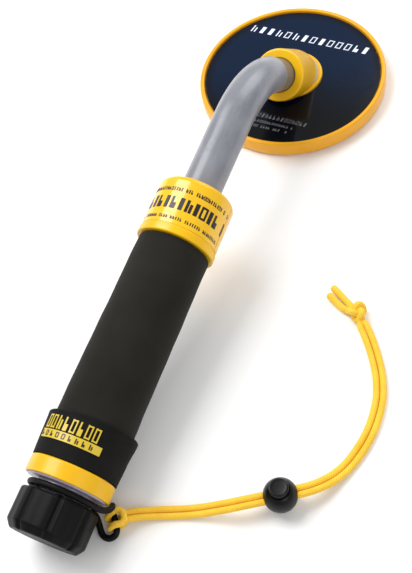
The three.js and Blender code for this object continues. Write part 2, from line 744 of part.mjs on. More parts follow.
// The doubled cord's middle line, from the hitch to the knot. The ball lock sits on its straight stretch.
const lockMiddle = new THREE.Vector3(87.6, 48.4, lockRadius);
const lockAlong = new THREE.Vector3(0.8387, 0.5446, 0);
const straightStretch = [-29, -21, -12, 0, 7, 13.5];
const cordLine = new THREE.CatmullRomCurve3([
  [4.8, 5, hitchHeight],
  [10.3, 8.8, 5],
  [18.8, 13.6, 2.7],
  [27.8, 17.6, cordRest],
  [37.8, 21.8, 2.4],
  [47.8, 25.8, 5],
  [56.3, 29.2, 8.6],
  ...straightStretch.map((d) => lockMiddle.clone().addScaledVector(lockAlong, d).toArray()),
  [105.6, 62.4, 8.2],
  [112, 72.4, 4],
  [116.4, 82, 2.2],
  [119.8, 94, cordRest],
  [121.6, 107, cordRest],
  [121.4, 120, cordRest],
  [119.2, 133.2, cordRest],
  [114, 146.6, cordRest],
  [107.2, 158.4, cordRest],
  [99.8, 168.8, 2.4],
  [93.6, 176, 3.6],
].map((at) => new THREE.Vector3(...at)), false, 'centripetal');
const knotMiddle = new THREE.Vector3(86.3, 184, knotRadii[2]);
const tailRoutes = {
  a: [[79.4, 188.8, 3.4], [74.2, 192.8, 2.4], [67.4, 197.4, cordRest], [62.4, 200.2, cordRest]],
  b: [[79.2, 183, 3.2], [74.4, 184.4, 2.3], [69.4, 187, cordRest], [65, 189, cordRest]],
};

class StrandLine extends THREE.Curve {
  constructor(side) {
    super();
    this.offset = (side * strandSpacing) / 2;
  }

  getPoint(share, target = new THREE.Vector3()) {
    const ahead = cordLine.getTangentAt(share);
    const aside = new THREE.Vector3(-ahead.y, ahead.x, 0).normalize();
    return target.copy(cordLine.getPointAt(share)).addScaledVector(aside, this.offset);
  }
}

function wristCord() {
  piece(lanyard, 'lanyard_strand_a', swept(new StrandLine(1), cordRadius, 8, 36), 'yellowCord');
  piece(lanyard, 'lanyard_strand_b', swept(new StrandLine(-1), cordRadius, 8, 36), 'yellowCord');
  const knot = new THREE.SphereGeometry(1, 16, 10)
    .scale(...knotRadii)
    .rotateZ(THREE.MathUtils.degToRad(knotTurn))
    .translate(...knotMiddle);
  piece(lanyard, 'lanyard_knot', knot, 'yellowCord');
  for (const [name, route] of Object.entries(tailRoutes)) {
    const line = new THREE.CatmullRomCurve3(route.map((at) => new THREE.Vector3(...at)));
    piece(lanyard, `lanyard_tail_${name}`, swept(line, cordRadius, 8, 4), 'yellowCord');
  }
}

// A ball cord lock: the button's plunger and the ball both have a slot for the two strands.
function cordLock() {
  const lock = new THREE.Group();
  lock.position.copy(lockMiddle);
  lock.rotation.z = Math.atan2(lockAlong.y, lockAlong.x);
  lanyard.add(lock);
  const slotWidth = strandSpacing + 2 * (cordRadius + seatGap);
  const slotHeight = 2 * (cordRadius + seatGap);
  const across = 4 * lockRadius;
  const plungerFoot = -slotHeight / 2 - plungerWeb;
  const boreFloor = plungerFoot - plungerTravel - seatGap;
  const pocketFloor = lockFloor - lockRadius;
  const ball = toManifold(new THREE.SphereGeometry(lockRadius, 22, 14).rotateX(Math.PI / 2))
    .subtract(toManifold(rod(plungerRadius + seatGap, boreFloor, 2 * lockRadius, 20)))
    .subtract(toManifold(rod(springPocketRadius, pocketFloor, 0, 16)))
    .subtract(toManifold(box(across, slotWidth, slotHeight, 0, 0, 0)));
  piece(lock, 'cord_lock_ball', fromManifold(ball), 'blackPlastic');
  const slotTop = slotHeight / 2 + plungerTravel;
  const buttonTop = lockRadius + buttonProud;
  const button = toManifold(turned([
    [0, plungerFoot],
    [plungerRadius, plungerFoot],
    [plungerRadius, buttonTop - buttonChamfer],
    [plungerRadius - buttonChamfer, buttonTop],
    [0, buttonTop],
  ], 20)).subtract(toManifold(
    box(across, slotWidth, slotTop + slotHeight / 2, 0, 0, (slotTop - slotHeight / 2) / 2),
  ));
  piece(lock, 'cord_lock_button', fromManifold(button), 'blackPlastic');
  const low = pocketFloor + seatGap + lockSpringWire;
  const high = plungerFoot - seatGap - lockSpringWire;
  const line = new SpringLine(lockSpringRadius, lockSpringTurns, low, high);
  piece(lock, 'cord_lock_spring', swept(line, lockSpringWire, 6, lockSpringTurns * 10), 'steel');
}

searchDisc();
searchCoil();
hub();
neck();
frontCollar();
handlePipe();
rearEnd();
knob();
battery();
knobContact();
electronics();
vibrator();
tether();
wristCord();
cordLock();

export default group;
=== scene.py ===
import bpy
import bmesh
import json
import math
from mathutils import Matrix, Vector


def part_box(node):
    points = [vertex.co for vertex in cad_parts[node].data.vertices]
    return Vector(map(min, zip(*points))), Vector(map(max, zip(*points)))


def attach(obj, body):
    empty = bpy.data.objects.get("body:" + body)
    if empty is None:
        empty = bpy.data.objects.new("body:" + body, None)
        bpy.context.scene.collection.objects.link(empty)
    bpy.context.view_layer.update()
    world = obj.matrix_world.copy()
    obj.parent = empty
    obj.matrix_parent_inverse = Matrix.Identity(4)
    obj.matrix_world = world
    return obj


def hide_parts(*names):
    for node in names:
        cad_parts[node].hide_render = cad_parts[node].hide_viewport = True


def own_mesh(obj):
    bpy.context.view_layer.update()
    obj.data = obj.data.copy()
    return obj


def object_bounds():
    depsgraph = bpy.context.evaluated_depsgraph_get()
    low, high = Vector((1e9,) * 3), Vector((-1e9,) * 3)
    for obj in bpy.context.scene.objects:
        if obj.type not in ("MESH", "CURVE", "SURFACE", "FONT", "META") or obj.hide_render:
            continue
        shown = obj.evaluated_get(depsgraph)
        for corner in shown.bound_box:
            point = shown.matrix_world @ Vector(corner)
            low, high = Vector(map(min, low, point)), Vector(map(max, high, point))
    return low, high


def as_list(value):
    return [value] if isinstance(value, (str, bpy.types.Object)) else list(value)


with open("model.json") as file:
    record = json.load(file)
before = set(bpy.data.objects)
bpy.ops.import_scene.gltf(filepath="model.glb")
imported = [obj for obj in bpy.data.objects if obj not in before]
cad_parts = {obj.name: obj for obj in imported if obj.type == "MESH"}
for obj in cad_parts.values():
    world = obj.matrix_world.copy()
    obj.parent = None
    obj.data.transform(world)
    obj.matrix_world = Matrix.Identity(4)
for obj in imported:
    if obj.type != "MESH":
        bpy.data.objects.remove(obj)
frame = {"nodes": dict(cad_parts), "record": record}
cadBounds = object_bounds()
nodes = frame["nodes"]
record = frame["record"]
mm = 0.001


# nodes: one wrapper for sockets, one method for every other node

class Wire:
    def __init__(self, kit, socket):
        self.kit = kit
        self.socket = socket

    def __add__(self, other):
        return self.kit.math("ADD", self, other)

    def __radd__(self, other):
        return self.kit.math("ADD", other, self)

    def __sub__(self, other):
        return self.kit.math("SUBTRACT", self, other)

    def __rsub__(self, other):
        return self.kit.math("SUBTRACT", other, self)

    def __mul__(self, other):
        return self.kit.math("MULTIPLY", self, other)

    def __rmul__(self, other):
        return self.kit.math("MULTIPLY", other, self)

    def __truediv__(self, other):
        return self.kit.math("DIVIDE", self, other)

    def __rtruediv__(self, other):
        return self.kit.math("DIVIDE", other, self)


class Kit:
    def __init__(self, tree):
        self.tree = tree

    def add(self, kind, settings=None, sockets=None, output=0):
        node = self.tree.nodes.new(kind)
        for key, value in (settings or {}).items():
            setattr(node, key, value)
        for key, value in (sockets or {}).items():
            if isinstance(value, Wire):
                self.tree.links.new(value.socket, node.inputs[key])
            else:
                node.inputs[key].default_value = value
        return Wire(self, node.outputs[output]) if len(node.outputs) else None

    def math(self, operation, a, b=0.0):
        return self.add("ShaderNodeMath", {"operation": operation}, {0: a, 1: b})

    def parts(self, vector):  # its x and its y
        outputs = self.add("ShaderNodeSeparateXYZ", None, {0: vector}).socket.node.outputs
        return Wire(self, outputs["X"]), Wire(self, outputs["Y"])

    def place(self):
        return self.add("ShaderNodeTexCoord", output="Object")

    def noise(self, size, detail=3.0, rough=0.55, stretch=None):
        at = self.place()
        if stretch:
            at = self.add("ShaderNodeVectorMath", {"operation": "MULTIPLY"}, {0: at, 1: stretch})
        sockets = {"Vector": at, "Scale": 1 / size, "Detail": detail, "Roughness": rough}
        return self.add("ShaderNodeTexNoise", None, sockets, "Fac")

    def span(self, value, low, high, start=0.0, end=1.0, smooth=False):
        kind = {"interpolation_type": "SMOOTHSTEP" if smooth else "LINEAR"}
        return self.add("ShaderNodeMapRange", kind, {0: value, 1: low, 2: high, 3: start, 4: end})

    def blend(self, share, a, b):
        return self.add("ShaderNodeMix", {"data_type": "RGBA"}, {0: share, 6: a, 7: b}, 2)

    def bump(self, height, depth, strength=1.0):
        sockets = {"Height": height, "Distance": depth, "Strength": strength}
        return self.add("ShaderNodeBump", None, sockets)


def shade(r, g, b):  # from an everyday 0-255 colour to a linear one
    def linear(c):
        c /= 255
        return c / 12.92 if c < 0.04045 else ((c + 0.055) / 1.055) ** 2.4
    return (linear(r), linear(g), linear(b), 1.0)


def finish(name, paint):
    material = bpy.data.materials.new(name)
    material.use_nodes = True
    material.node_tree.nodes.clear()
    kit = Kit(material.node_tree)
    surface = kit.add("ShaderNodeBsdfPrincipled", None, paint(kit))
    kit.add("ShaderNodeOutputMaterial", None, {"Surface": surface})
    return material


# finishes

plasticLook = {"mottleSize": 0.03, "grainSize": 0.0005, "scuffSize": 0.004}


def plastic(colour, deep, rough, coat=0.0, grain=0.00002, scuffs=0.12, shine=0.5):
    def paint(kit):
        mottle = kit.noise(plasticLook["mottleSize"], 2.0)
        scuff = kit.noise(plasticLook["scuffSize"], 5.0, 0.7, stretch=(1.0, 0.35, 1.0))
        scuffed = kit.span(scuff, 0.56, 0.74)
        fine = kit.noise(plasticLook["grainSize"], 2.0)
        sockets = {
            "Base Color": kit.blend(kit.span(mottle, 0.3, 0.75), colour, deep),
            "Roughness": rough + scuffed * scuffs + mottle * 0.06 - 0.03,
            "Normal": kit.bump(fine + scuffed * 0.6, grain),
            "Coat Roughness": 0.12,
            "Specular IOR Level": shine,
        }
        if coat:
            sockets["Coat Weight"] = coat * (1 - scuffed * 0.5)
        return sockets
    return paint


def metal(colour, rough, streak=(1.0, 1.0, 1.0)):
    def paint(kit):
        brushed = kit.noise(0.0009, 4.0, 0.6, stretch=streak)
        tarnish = kit.span(kit.noise(0.006, 3.0), 0.4, 0.8, 0.0, 0.35)
        return {
            "Base Color": kit.blend(tarnish, colour, shade(90, 80, 70)),
            "Metallic": 1.0,
            "Roughness": rough + brushed * 0.18 - 0.06,
            "Normal": kit.bump(brushed, 0.00002),
        }
    return paint


def greyPipe(kit):
    mottle = kit.noise(0.018, 3.0)
    streaks = kit.noise(0.0012, 4.0, 0.6, stretch=(1.0, 0.08, 0.5))
    rubbed = kit.span(kit.noise(0.007, 5.0, 0.75), 0.55, 0.72)
    tone = kit.blend(kit.span(mottle, 0.3, 0.7), shade(132, 134, 142), shade(116, 118, 127))
    return {
        "Base Color": kit.blend(kit.span(streaks, 0.45, 0.8, 0.0, 0.35), tone, shade(148, 150, 156)),
        "Roughness": 0.27 + rubbed * 0.14 + streaks * 0.08,
        "Normal": kit.bump(streaks + rubbed * 0.3, 0.00003),
        "Coat Weight": 0.3 * (1 - rubbed),
        "Coat Roughness": 0.2,
        "Specular IOR Level": 0.4,
    }


neckShadeLook = {"darkUpTo": 0.0278, "lightFrom": 0.0296, "dark": 0.7}  # painted shade on the tube next to the hub: along the tube, from its end in the hub


def neckPipePaintedShade(kit):  # the same pipe with painted shade where it is slimmer, next to the hub
    along = kit.add("ShaderNodeAttribute", {"attribute_name": "along"}, None, "Fac")
    sockets = greyPipe(kit)
    # painted shade: the slim part next to the hub is blended towards a dark grey
    neckShade = kit.span(along, neckShadeLook["darkUpTo"], neckShadeLook["lightFrom"], neckShadeLook["dark"], 0.0, True)
    sockets["Base Color"] = kit.blend(neckShade, sockets["Base Color"], shade(70, 70, 80))
    return sockets


def neoprene(kit):
    skin = kit.noise(0.00055, 2.0, 0.5)
    cells = {"Vector": kit.place(), "Scale": 1 / 0.0011}
    pores = kit.add("ShaderNodeTexVoronoi", {"feature": "F1"}, cells)
    cloudy = kit.noise(0.035, 3.0)
    dust = kit.span(kit.noise(0.0028, 6.0, 0.8), 0.62, 0.78)
    tone = kit.blend(kit.span(cloudy, 0.35, 0.7), shade(27, 26, 22), shade(36, 34, 29))
    return {
        "Base Color": kit.blend(dust * 0.2, tone, shade(74, 72, 66)),
        "Roughness": 0.78 + cloudy * 0.1,
        "Normal": kit.bump(skin * 0.6 + pores * 0.7, 0.00012, 0.8),
        "Sheen Weight": 0.03,
        "Sheen Roughness": 0.5,
        "Specular IOR Level": 0.14,
    }


def cuffSkin(kit):
    ribs = kit.add(
        "ShaderNodeTexWave", {"wave_type": "BANDS", "bands_direction": "X"},
        {"Vector": kit.place(), "Scale": 420.0, "Distortion": 1.2, "Detail": 1.0},
        "Fac",
    )
    pores = kit.noise(0.0004, 2.0)
    worn = kit.noise(0.012, 4.0)
    return {
        "Base Color": kit.blend(kit.span(worn, 0.4, 0.75), shade(13, 13, 13), shade(23, 22, 21)),
        "Roughness": 0.68 + worn * 0.12,
        "Normal": kit.bump(ribs * 0.35 + pores * 0.65, 0.00009, 0.8),
        "Specular IOR Level": 0.14,
    }


def navyFilm(kit):
    across, along = kit.parts(kit.place())
    radius = kit.add("ShaderNodeVectorMath", {"operation": "LENGTH"}, {0: kit.place()}, "Value")
    # bluer towards the top left, near-black towards the bottom: partly the film's own colour, partly a
    # painted reflection
    slope = across * 0.35 - along + (kit.noise(0.05, 2.0) - 0.5) * 0.03
    fadeAndPaintedReflection = kit.span(slope, -0.02, 0.06, smooth=True)
    edge = kit.span(radius, 0.0595, 0.066, smooth=True)
    speck = kit.span(kit.noise(0.0007, 2.0), 0.72, 0.8)
    tone = kit.blend(fadeAndPaintedReflection, shade(3, 24, 50), shade(3, 5, 9))
    dark = kit.blend(edge * 0.75, tone, shade(7, 8, 12))
    return {
        "Base Color": kit.blend(speck * 0.3, dark, shade(58, 70, 96)),
        "Roughness": 0.1 + kit.noise(0.01, 4.0) * 0.1,
        "Normal": kit.bump(kit.noise(0.012, 3.0), 0.00006, 0.5),
        "Coat Weight": 0.12 - speck * 0.05,
        "Coat Roughness": 0.05,
        "Specular IOR Level": 0.2,
    }


braid = {"yarns": 6, "stitch": 0.00177}  # yarns each way, and the length of one stitch


def braidedCord(kit):
    along = kit.add("ShaderNodeAttribute", {"attribute_name": "along"}, None, "Fac")
    turn = kit.add("ShaderNodeAttribute", {"attribute_name": "round"}, None, "Vector")
    across, up = kit.parts(turn)
    winding = kit.math("ARCTAN2", up, across) * braid["yarns"]
    climb = along * (2 * math.pi / braid["stitch"])
    weave = kit.math("MAXIMUM", kit.math("SINE", winding + climb), kit.math("SINE", winding - climb))
    yarn = kit.noise(0.0004, 3.0, 0.7)
    soil = kit.noise(0.009, 4.0)
    light = kit.blend(kit.span(soil, 0.35, 0.7), shade(254, 210, 58), shade(248, 196, 44))
    # painted shade: darker orange where the yarns dip between crossings
    yarnGapShade = kit.span(weave, -0.2, 0.75, 0.42, 0.0, True)
    return {
        "Base Color": kit.blend(yarnGapShade, light, shade(222, 158, 34)),
        "Roughness": 0.62 + yarn * 0.16,
        "Normal": kit.bump(weave * 0.5 + yarn * 0.5, 0.00022, 0.9),
        "Sheen Weight": 0.25,
        "Sheen Roughness": 0.4,
        "Sheen Tint": shade(255, 236, 170),
    }


def printInk(colour, worn):
    def paint(kit):
        patch = kit.span(kit.noise(0.0011, 4.0, 0.7), 0.6, 0.72)
        return {
            "Base Color": kit.blend(patch * 0.35, colour, worn),
            "Roughness": 0.36 + patch * 0.2,
            "Normal": kit.bump(kit.noise(0.0004, 2.0), 0.00001),
        }
    return paint


paints = {
    "yellowMoulding": plastic(shade(237, 186, 6), shade(230, 172, 6), 0.3, coat=0.12, shine=0.35),
    "dishMoulding": plastic(shade(238, 170, 12), shade(226, 158, 8), 0.32, coat=0.12, shine=0.35),
    "collarFilm": plastic(shade(240, 190, 8), shade(236, 180, 8), 0.2, coat=0.3, scuffs=0.06),
    "greyMoulding": plastic(shade(176, 166, 186), shade(150, 142, 162), 0.28, coat=0.3),
    "blackMoulding": plastic(shade(7, 7, 7), shade(12, 12, 12), 0.45, grain=0.00006, scuffs=0.2, shine=0.12),
    "glossBlack": plastic(shade(5, 5, 6), shade(9, 9, 10), 0.3, coat=0.05, scuffs=0.1, shine=0.2),
    "whiteMoulding": plastic(shade(222, 222, 218), shade(206, 205, 198), 0.4),
    "sealant": plastic(shade(196, 192, 180), shade(172, 168, 160), 0.35),
    "softRubber": plastic(shade(9, 9, 9), shade(14, 14, 14), 0.5, grain=0.00005, shine=0.14),
    "castResin": plastic(shade(40, 38, 40), shade(52, 48, 48), 0.3, coat=0.4),
    "boardGreen": plastic(shade(24, 92, 52), shade(18, 74, 44), 0.35, coat=0.3),
    "batteryCase": plastic(shade(26, 26, 30), shade(40, 38, 40), 0.25, coat=0.5),
    "openFoam": plastic(shade(70, 70, 74), shade(56, 56, 60), 0.9, grain=0.0004),
    "greyPipe": greyPipe,
    "neckPipePaintedShade": neckPipePaintedShade,
    "neoprene": neoprene,
    "cuffSkin": cuffSkin,
    "navyFilm": navyFilm,
    "braidedCord": braidedCord,
    "copper": metal(shade(190, 110, 66), 0.3, (1.0, 1.0, 12.0)),
    "brightSteel": metal(shade(190, 192, 196), 0.25, (1.0, 0.15, 1.0)),
    "brass": metal(shade(206, 172, 92), 0.28),
    "whiteInk": printInk(shade(226, 232, 250), shade(120, 130, 160)),
    "dimInk": printInk(shade(92, 92, 98), shade(40, 44, 54)),
    "blackInk": printInk(shade(26, 18, 22), shade(120, 84, 26)),
    "yellowInk": printInk(shade(208, 180, 44), shade(110, 92, 26)),
}
looks = {name: finish(name, paint) for name, paint in paints.items()}
print("finishes made:", len(looks))


# camera, floor and light

cameraPlan = {
    "target": (0.0101, -0.1882, 0.0), "azimuth": 37.17, "elevation": 56.13, "roll": -15.71,
    "distance": 0.7218, "lens": 66.6,
}


def makeCamera(plan):
    azimuth, elevation, roll = (math.radians(plan[k]) for k in ("azimuth", "elevation", "roll"))
    level = math.cos(elevation)
    forward = Vector((-math.sin(azimuth) * level, math.cos(azimuth) * level, -math.sin(elevation)))
    right = forward.cross(Vector((0, 0, 1))).normalized()
    up = right.cross(forward)
    across = right * math.cos(roll) + up * math.sin(roll)
    upright = up * math.cos(roll) - right * math.sin(roll)
    turned = Matrix((across, upright, -forward)).transposed().to_4x4()
    data = bpy.data.cameras.new("view")
    data.lens = plan["lens"]
    data.clip_start = 0.01
    camera = bpy.data.objects.new("view", data)
    stand = Vector(plan["target"]) - forward * plan["distance"]
    camera.matrix_world = Matrix.Translation(stand) @ turned
    bpy.context.collection.objects.link(camera)
    bpy.context.scene.camera = camera


lightPlan = {  # where each soft light hangs, what it aims at, its size and power
    "mainSoftbox": ((-0.75, -0.05, 1.15), (0.0, -0.2, 0.0), 0.9, 17.0),
    "sideSoftbox": ((0.95, -0.75, 0.8), (0.0, -0.25, 0.0), 0.7, 3.6),
    "backSoftbox": ((0.2, 0.95, 0.75), (0.0, -0.1, 0.0), 0.8, 6.0),
}
roomLight = 0.52


def makeStage():
    bpy.ops.mesh.primitive_plane_add(size=8.0)
    floor = bpy.context.object
    floor.name = "floor"
    floor.location.z = cadBounds[0][2] - 0.0001

    def paleFloor(kit):
        grain = kit.noise(0.4, 2.0)
        tone = kit.blend(grain, shade(250, 250, 250), shade(247, 247, 247))
        return {"Base Color": tone, "Roughness": 0.6}
    floor.data.materials.append(finish("paleFloor", paleFloor))
    for name, (at, aim, size, power) in lightPlan.items():
        data = bpy.data.lights.new(name, "AREA")
        data.shape = "SQUARE"
        data.size = size
        data.energy = power
        lamp = bpy.data.objects.new(name, data)
        lamp.location = at
        lamp.rotation_euler = (Vector(at) - Vector(aim)).to_track_quat("Z", "Y").to_euler()
        bpy.context.collection.objects.link(lamp)
    world = bpy.data.worlds.new("studio")
    bpy.context.scene.world = world
    world.use_nodes = True
    background = world.node_tree.nodes["Background"].inputs
    background["Color"].default_value = (1.0, 1.0, 1.0, 1.0)
    background["Strength"].default_value = roomLight
    bpy.context.scene.view_settings.view_transform = "Standard"


makeCamera(cameraPlan)
makeStage()
print("camera, floor and lights placed")


# places along the handle

knobTurn = next(j for j in record["behaviour"]["joints"] if j["name"] == "knob_turn")
rearward = Vector(knobTurn["axis"]).normalized()
aside = Vector((1, 0, 0))
upward = rearward.cross(aside)


def alongHandle(node, start):
    reach = [Vector(v.co) - start for v in nodes[node].data.vertices]
    behind = [r.dot(rearward) for r in reach]
    return min(behind), max(behind), max((r - rearward * b).length for r, b in zip(reach, behind))


onAxis = Vector(knobTurn["pos_m"])
handleStart = onAxis + rearward * alongHandle("front_collar", onAxis)[0]


def onHandle(x, up, behind):
    return handleStart + aside * x + upward * up + rearward * behind


def extent(node):  # its near and far ends behind the collar's front face, and its radius, in millimetres
    return [v / mm for v in alongHandle(node, handleStart)]


def onFloor(x, y, z):
    return Vector((x, y, z))


# making pieces

def softened(corners, steps=6, unit=mm):
    # each corner is (across, along, rounding) in millimetres; the outline is closed
    outline = []
    for i, (x, y, size) in enumerate(corners):
        corner = Vector((x, y))
        before = Vector(corners[i - 1][:2]) - corner
        after = Vector(corners[(i + 1) % len(corners)][:2]) - corner
        if not size:
            outline.append((x * unit, y * unit))
            continue
        half = before.angle(after) / 2
        cut = min(size / math.tan(half), 0.49 * before.length, 0.49 * after.length)
        size = cut * math.tan(half)
        centre = corner + (before.normalized() + after.normalized()).normalized() * (size / math.sin(half))
        first = corner + before.normalized() * cut - centre
        last = corner + after.normalized() * cut - centre
        start = math.atan2(first.y, first.x)
        sweep = (math.atan2(last.y, last.x) - start + math.pi) % (2 * math.pi) - math.pi
        for k in range(steps + 1):
            angle = start + sweep * k / steps
            spot = centre + Vector((math.cos(angle), math.sin(angle))) * size
            outline.append((spot.x * unit, spot.y * unit))
    return outline


def boxOf(node):  # its lowest and highest corners, in millimetres
    return [[v / mm for v in corner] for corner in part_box(node)]


def newPiece(name, mesh, sharp=38.0, weighted=True):
    if isinstance(mesh, bmesh.types.BMesh):
        bmesh.ops.remove_doubles(mesh, verts=mesh.verts, dist=1e-7)
        bmesh.ops.recalc_face_normals(mesh, faces=mesh.faces)
        for face in mesh.faces:
            face.smooth = True
        for edge in mesh.edges:
            edge.smooth = edge.calc_face_angle(0.0) < math.radians(sharp)
        data = bpy.data.meshes.new(name)
        mesh.to_mesh(data)
        mesh.free()
    else:
        data = mesh
        data.name = name
    piece = bpy.data.objects.new(name, data)
    bpy.context.collection.objects.link(piece)
    if weighted:
        piece.modifiers.new("evenShading", "WEIGHTED_NORMAL").keep_sharp = True
    return piece


def turnedMesh(outline, place, sides=128, shape=None):
    # an outline of (radius, along) turned round an axis; shape can move a point by its angle
    mesh = bmesh.new()
    rings = []
    for radius, along in outline:
        if radius < 1e-7:
            rings.append([mesh.verts.new(place(0.0, 0.0, along))] * sides)
            continue
        ring = []
        for k in range(sides):
            angle = 2 * math.pi * k / sides
            r, a = shape(radius, along, angle) if shape else (radius, along)
            ring.append(mesh.verts.new(place(r * math.cos(angle), r * math.sin(angle), a)))
        rings.append(ring)
    for low, high in zip(rings, rings[1:] + rings[:1]):
        for k in range(sides):
            corners = []
            for vert in (low[k], low[(k + 1) % sides], high[(k + 1) % sides], high[k]):
                if vert not in corners:
                    corners.append(vert)
            if len(corners) > 2:
                mesh.faces.new(corners)
    return mesh


def settle(piece, look, body, slot, *replaced):
    if look:
        piece.data.materials.clear()
        piece.data.materials.append(looks[look])
    if replaced:
        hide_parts(*replaced)
    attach(piece, body)
    return piece


def plainMesh(source):  # the evaluated shape as a mesh of its own, with the source removed
    bpy.context.view_layer.update()
    shaped = source.evaluated_get(bpy.context.evaluated_depsgraph_get())
    data = bpy.data.meshes.new_from_object(shaped)
    bpy.data.objects.remove(source)
    return data


def carve(piece, cutters):  # takes the cutters' shapes out of the piece, which becomes a loose mesh
    for cutter in cutters:
        cut = piece.modifiers.new("cut", "BOOLEAN")
        cut.operation = "DIFFERENCE"
        cut.solver = "EXACT"
        cut.object = cutter
    data = plainMesh(piece)
    for cutter in cutters:
        bpy.data.objects.remove(cutter)
    mesh = bmesh.new()
    mesh.from_mesh(data)
    return mesh


# geometry node trees

def startTree(name, wanted):
    tree = bpy.data.node_groups.new(name, "GeometryNodeTree")
    tree.interface.new_socket("Geometry", in_out="OUTPUT", socket_type="NodeSocketGeometry")
    tree.interface.new_socket("Geometry", in_out="INPUT", socket_type="NodeSocketGeometry")
    for title, kind in wanted.items():
        tree.interface.new_socket(title, in_out="INPUT", socket_type="NodeSocket" + kind)
    kit = Kit(tree)
    given = tree.nodes.new("NodeGroupInput")
    return tree, kit, {socket.name: Wire(kit, socket) for socket in given.outputs if socket.name}


def endTree(kit, shape, look):
    real = kit.add("GeometryNodeRealizeInstances", None, {0: shape})
    done = kit.add("GeometryNodeSetMaterial", None, {"Geometry": real, "Material": look})
    kit.add("NodeGroupOutput", None, {0: done})


def grow(source, tree, **values):  # runs a tree on an object and returns the resulting plain mesh
    modifier = source.modifiers.new(tree.name, "NODES")
    modifier.node_group = tree
    for item in tree.interface.items_tree:
        if item.in_out == "INPUT" and item.name in values:
            modifier[item.identifier] = values[item.name]
    return plainMesh(source)


def makeSweepTree():  # a round section along a curve, with its distance and its turn kept for the weave
    tree, kit, given = startTree("sweptCord", {
        "Radius": "Float", "Sides": "Int", "Caps": "Bool", "Look": "Material",
    })
    length = kit.add("GeometryNodeSplineParameter", None, None, "Length")
    line = kit.add(
        "GeometryNodeStoreNamedAttribute", {"data_type": "FLOAT", "domain": "POINT"},
        {"Geometry": given["Geometry"], "Name": "along", "Value": length},
    )
    ring = {"Resolution": given["Sides"], "Radius": given["Radius"]}
    circle = kit.add("GeometryNodeCurvePrimitiveCircle", {"mode": "RADIUS"}, ring)
    place = kit.add("GeometryNodeInputPosition")
    spot = kit.add("ShaderNodeVectorMath", {"operation": "NORMALIZE"}, {0: place})
    section = kit.add(
        "GeometryNodeStoreNamedAttribute", {"data_type": "FLOAT_VECTOR", "domain": "POINT"},
        {"Geometry": circle, "Name": "round", "Value": spot},
    )
    scale = kit.add("GeometryNodeInputRadius")
    tube = kit.add("GeometryNodeCurveToMesh", None, {
        "Curve": line, "Profile Curve": section, "Scale": scale, "Fill Caps": given["Caps"],
    })
    smooth = kit.add("GeometryNodeSetShadeSmooth", None, {"Geometry": tube, "Shade Smooth": True})
    endTree(kit, smooth, given["Look"])
    return tree


def makeKnobTree():  # a grooved section along the knob's axis; the curve's radius gives its outline
    tree, kit, given = startTree("lobedKnob", {
        "Radius": "Float", "Lobes": "Float", "Groove Depth": "Float", "Groove Share": "Float",
        "Crown": "Float", "Look": "Material",
    })
    ring = {"Resolution": 384, "Radius": given["Radius"]}
    circle = kit.add("GeometryNodeCurvePrimitiveCircle", {"mode": "RADIUS"}, ring)
    spot = kit.add("GeometryNodeInputPosition")
    across, up = kit.parts(spot)
    lobe = kit.math("ARCTAN2", up, across) * given["Lobes"] / (2 * math.pi)
    inLobe = kit.math("FRACT", lobe + 4.0)
    fromGroove = kit.math("ABSOLUTE", inLobe - 0.5)
    deep = kit.span(fromGroove, 0.0, given["Groove Share"] / 2, 1.0, 0.0, True)
    shoulder = kit.span(fromGroove, 0.2, 0.5, 0.0, 1.0, True)
    share = 1 - (given["Groove Depth"] * deep + given["Crown"] * shoulder) / given["Radius"]
    pulled = kit.add("ShaderNodeVectorMath", {"operation": "SCALE"}, {0: spot, "Scale": share})
    section = kit.add("GeometryNodeSetPosition", None, {"Geometry": circle, "Position": pulled})
    line = kit.add("GeometryNodeSetCurveNormal", {"mode": "Z_UP"}, {0: given["Geometry"]})
    scale = kit.add("GeometryNodeInputRadius")
    body = kit.add("GeometryNodeCurveToMesh", None, {
        "Curve": line, "Profile Curve": section, "Scale": scale, "Fill Caps": True,
    })
    endTree(kit, body, given["Look"])
    return tree


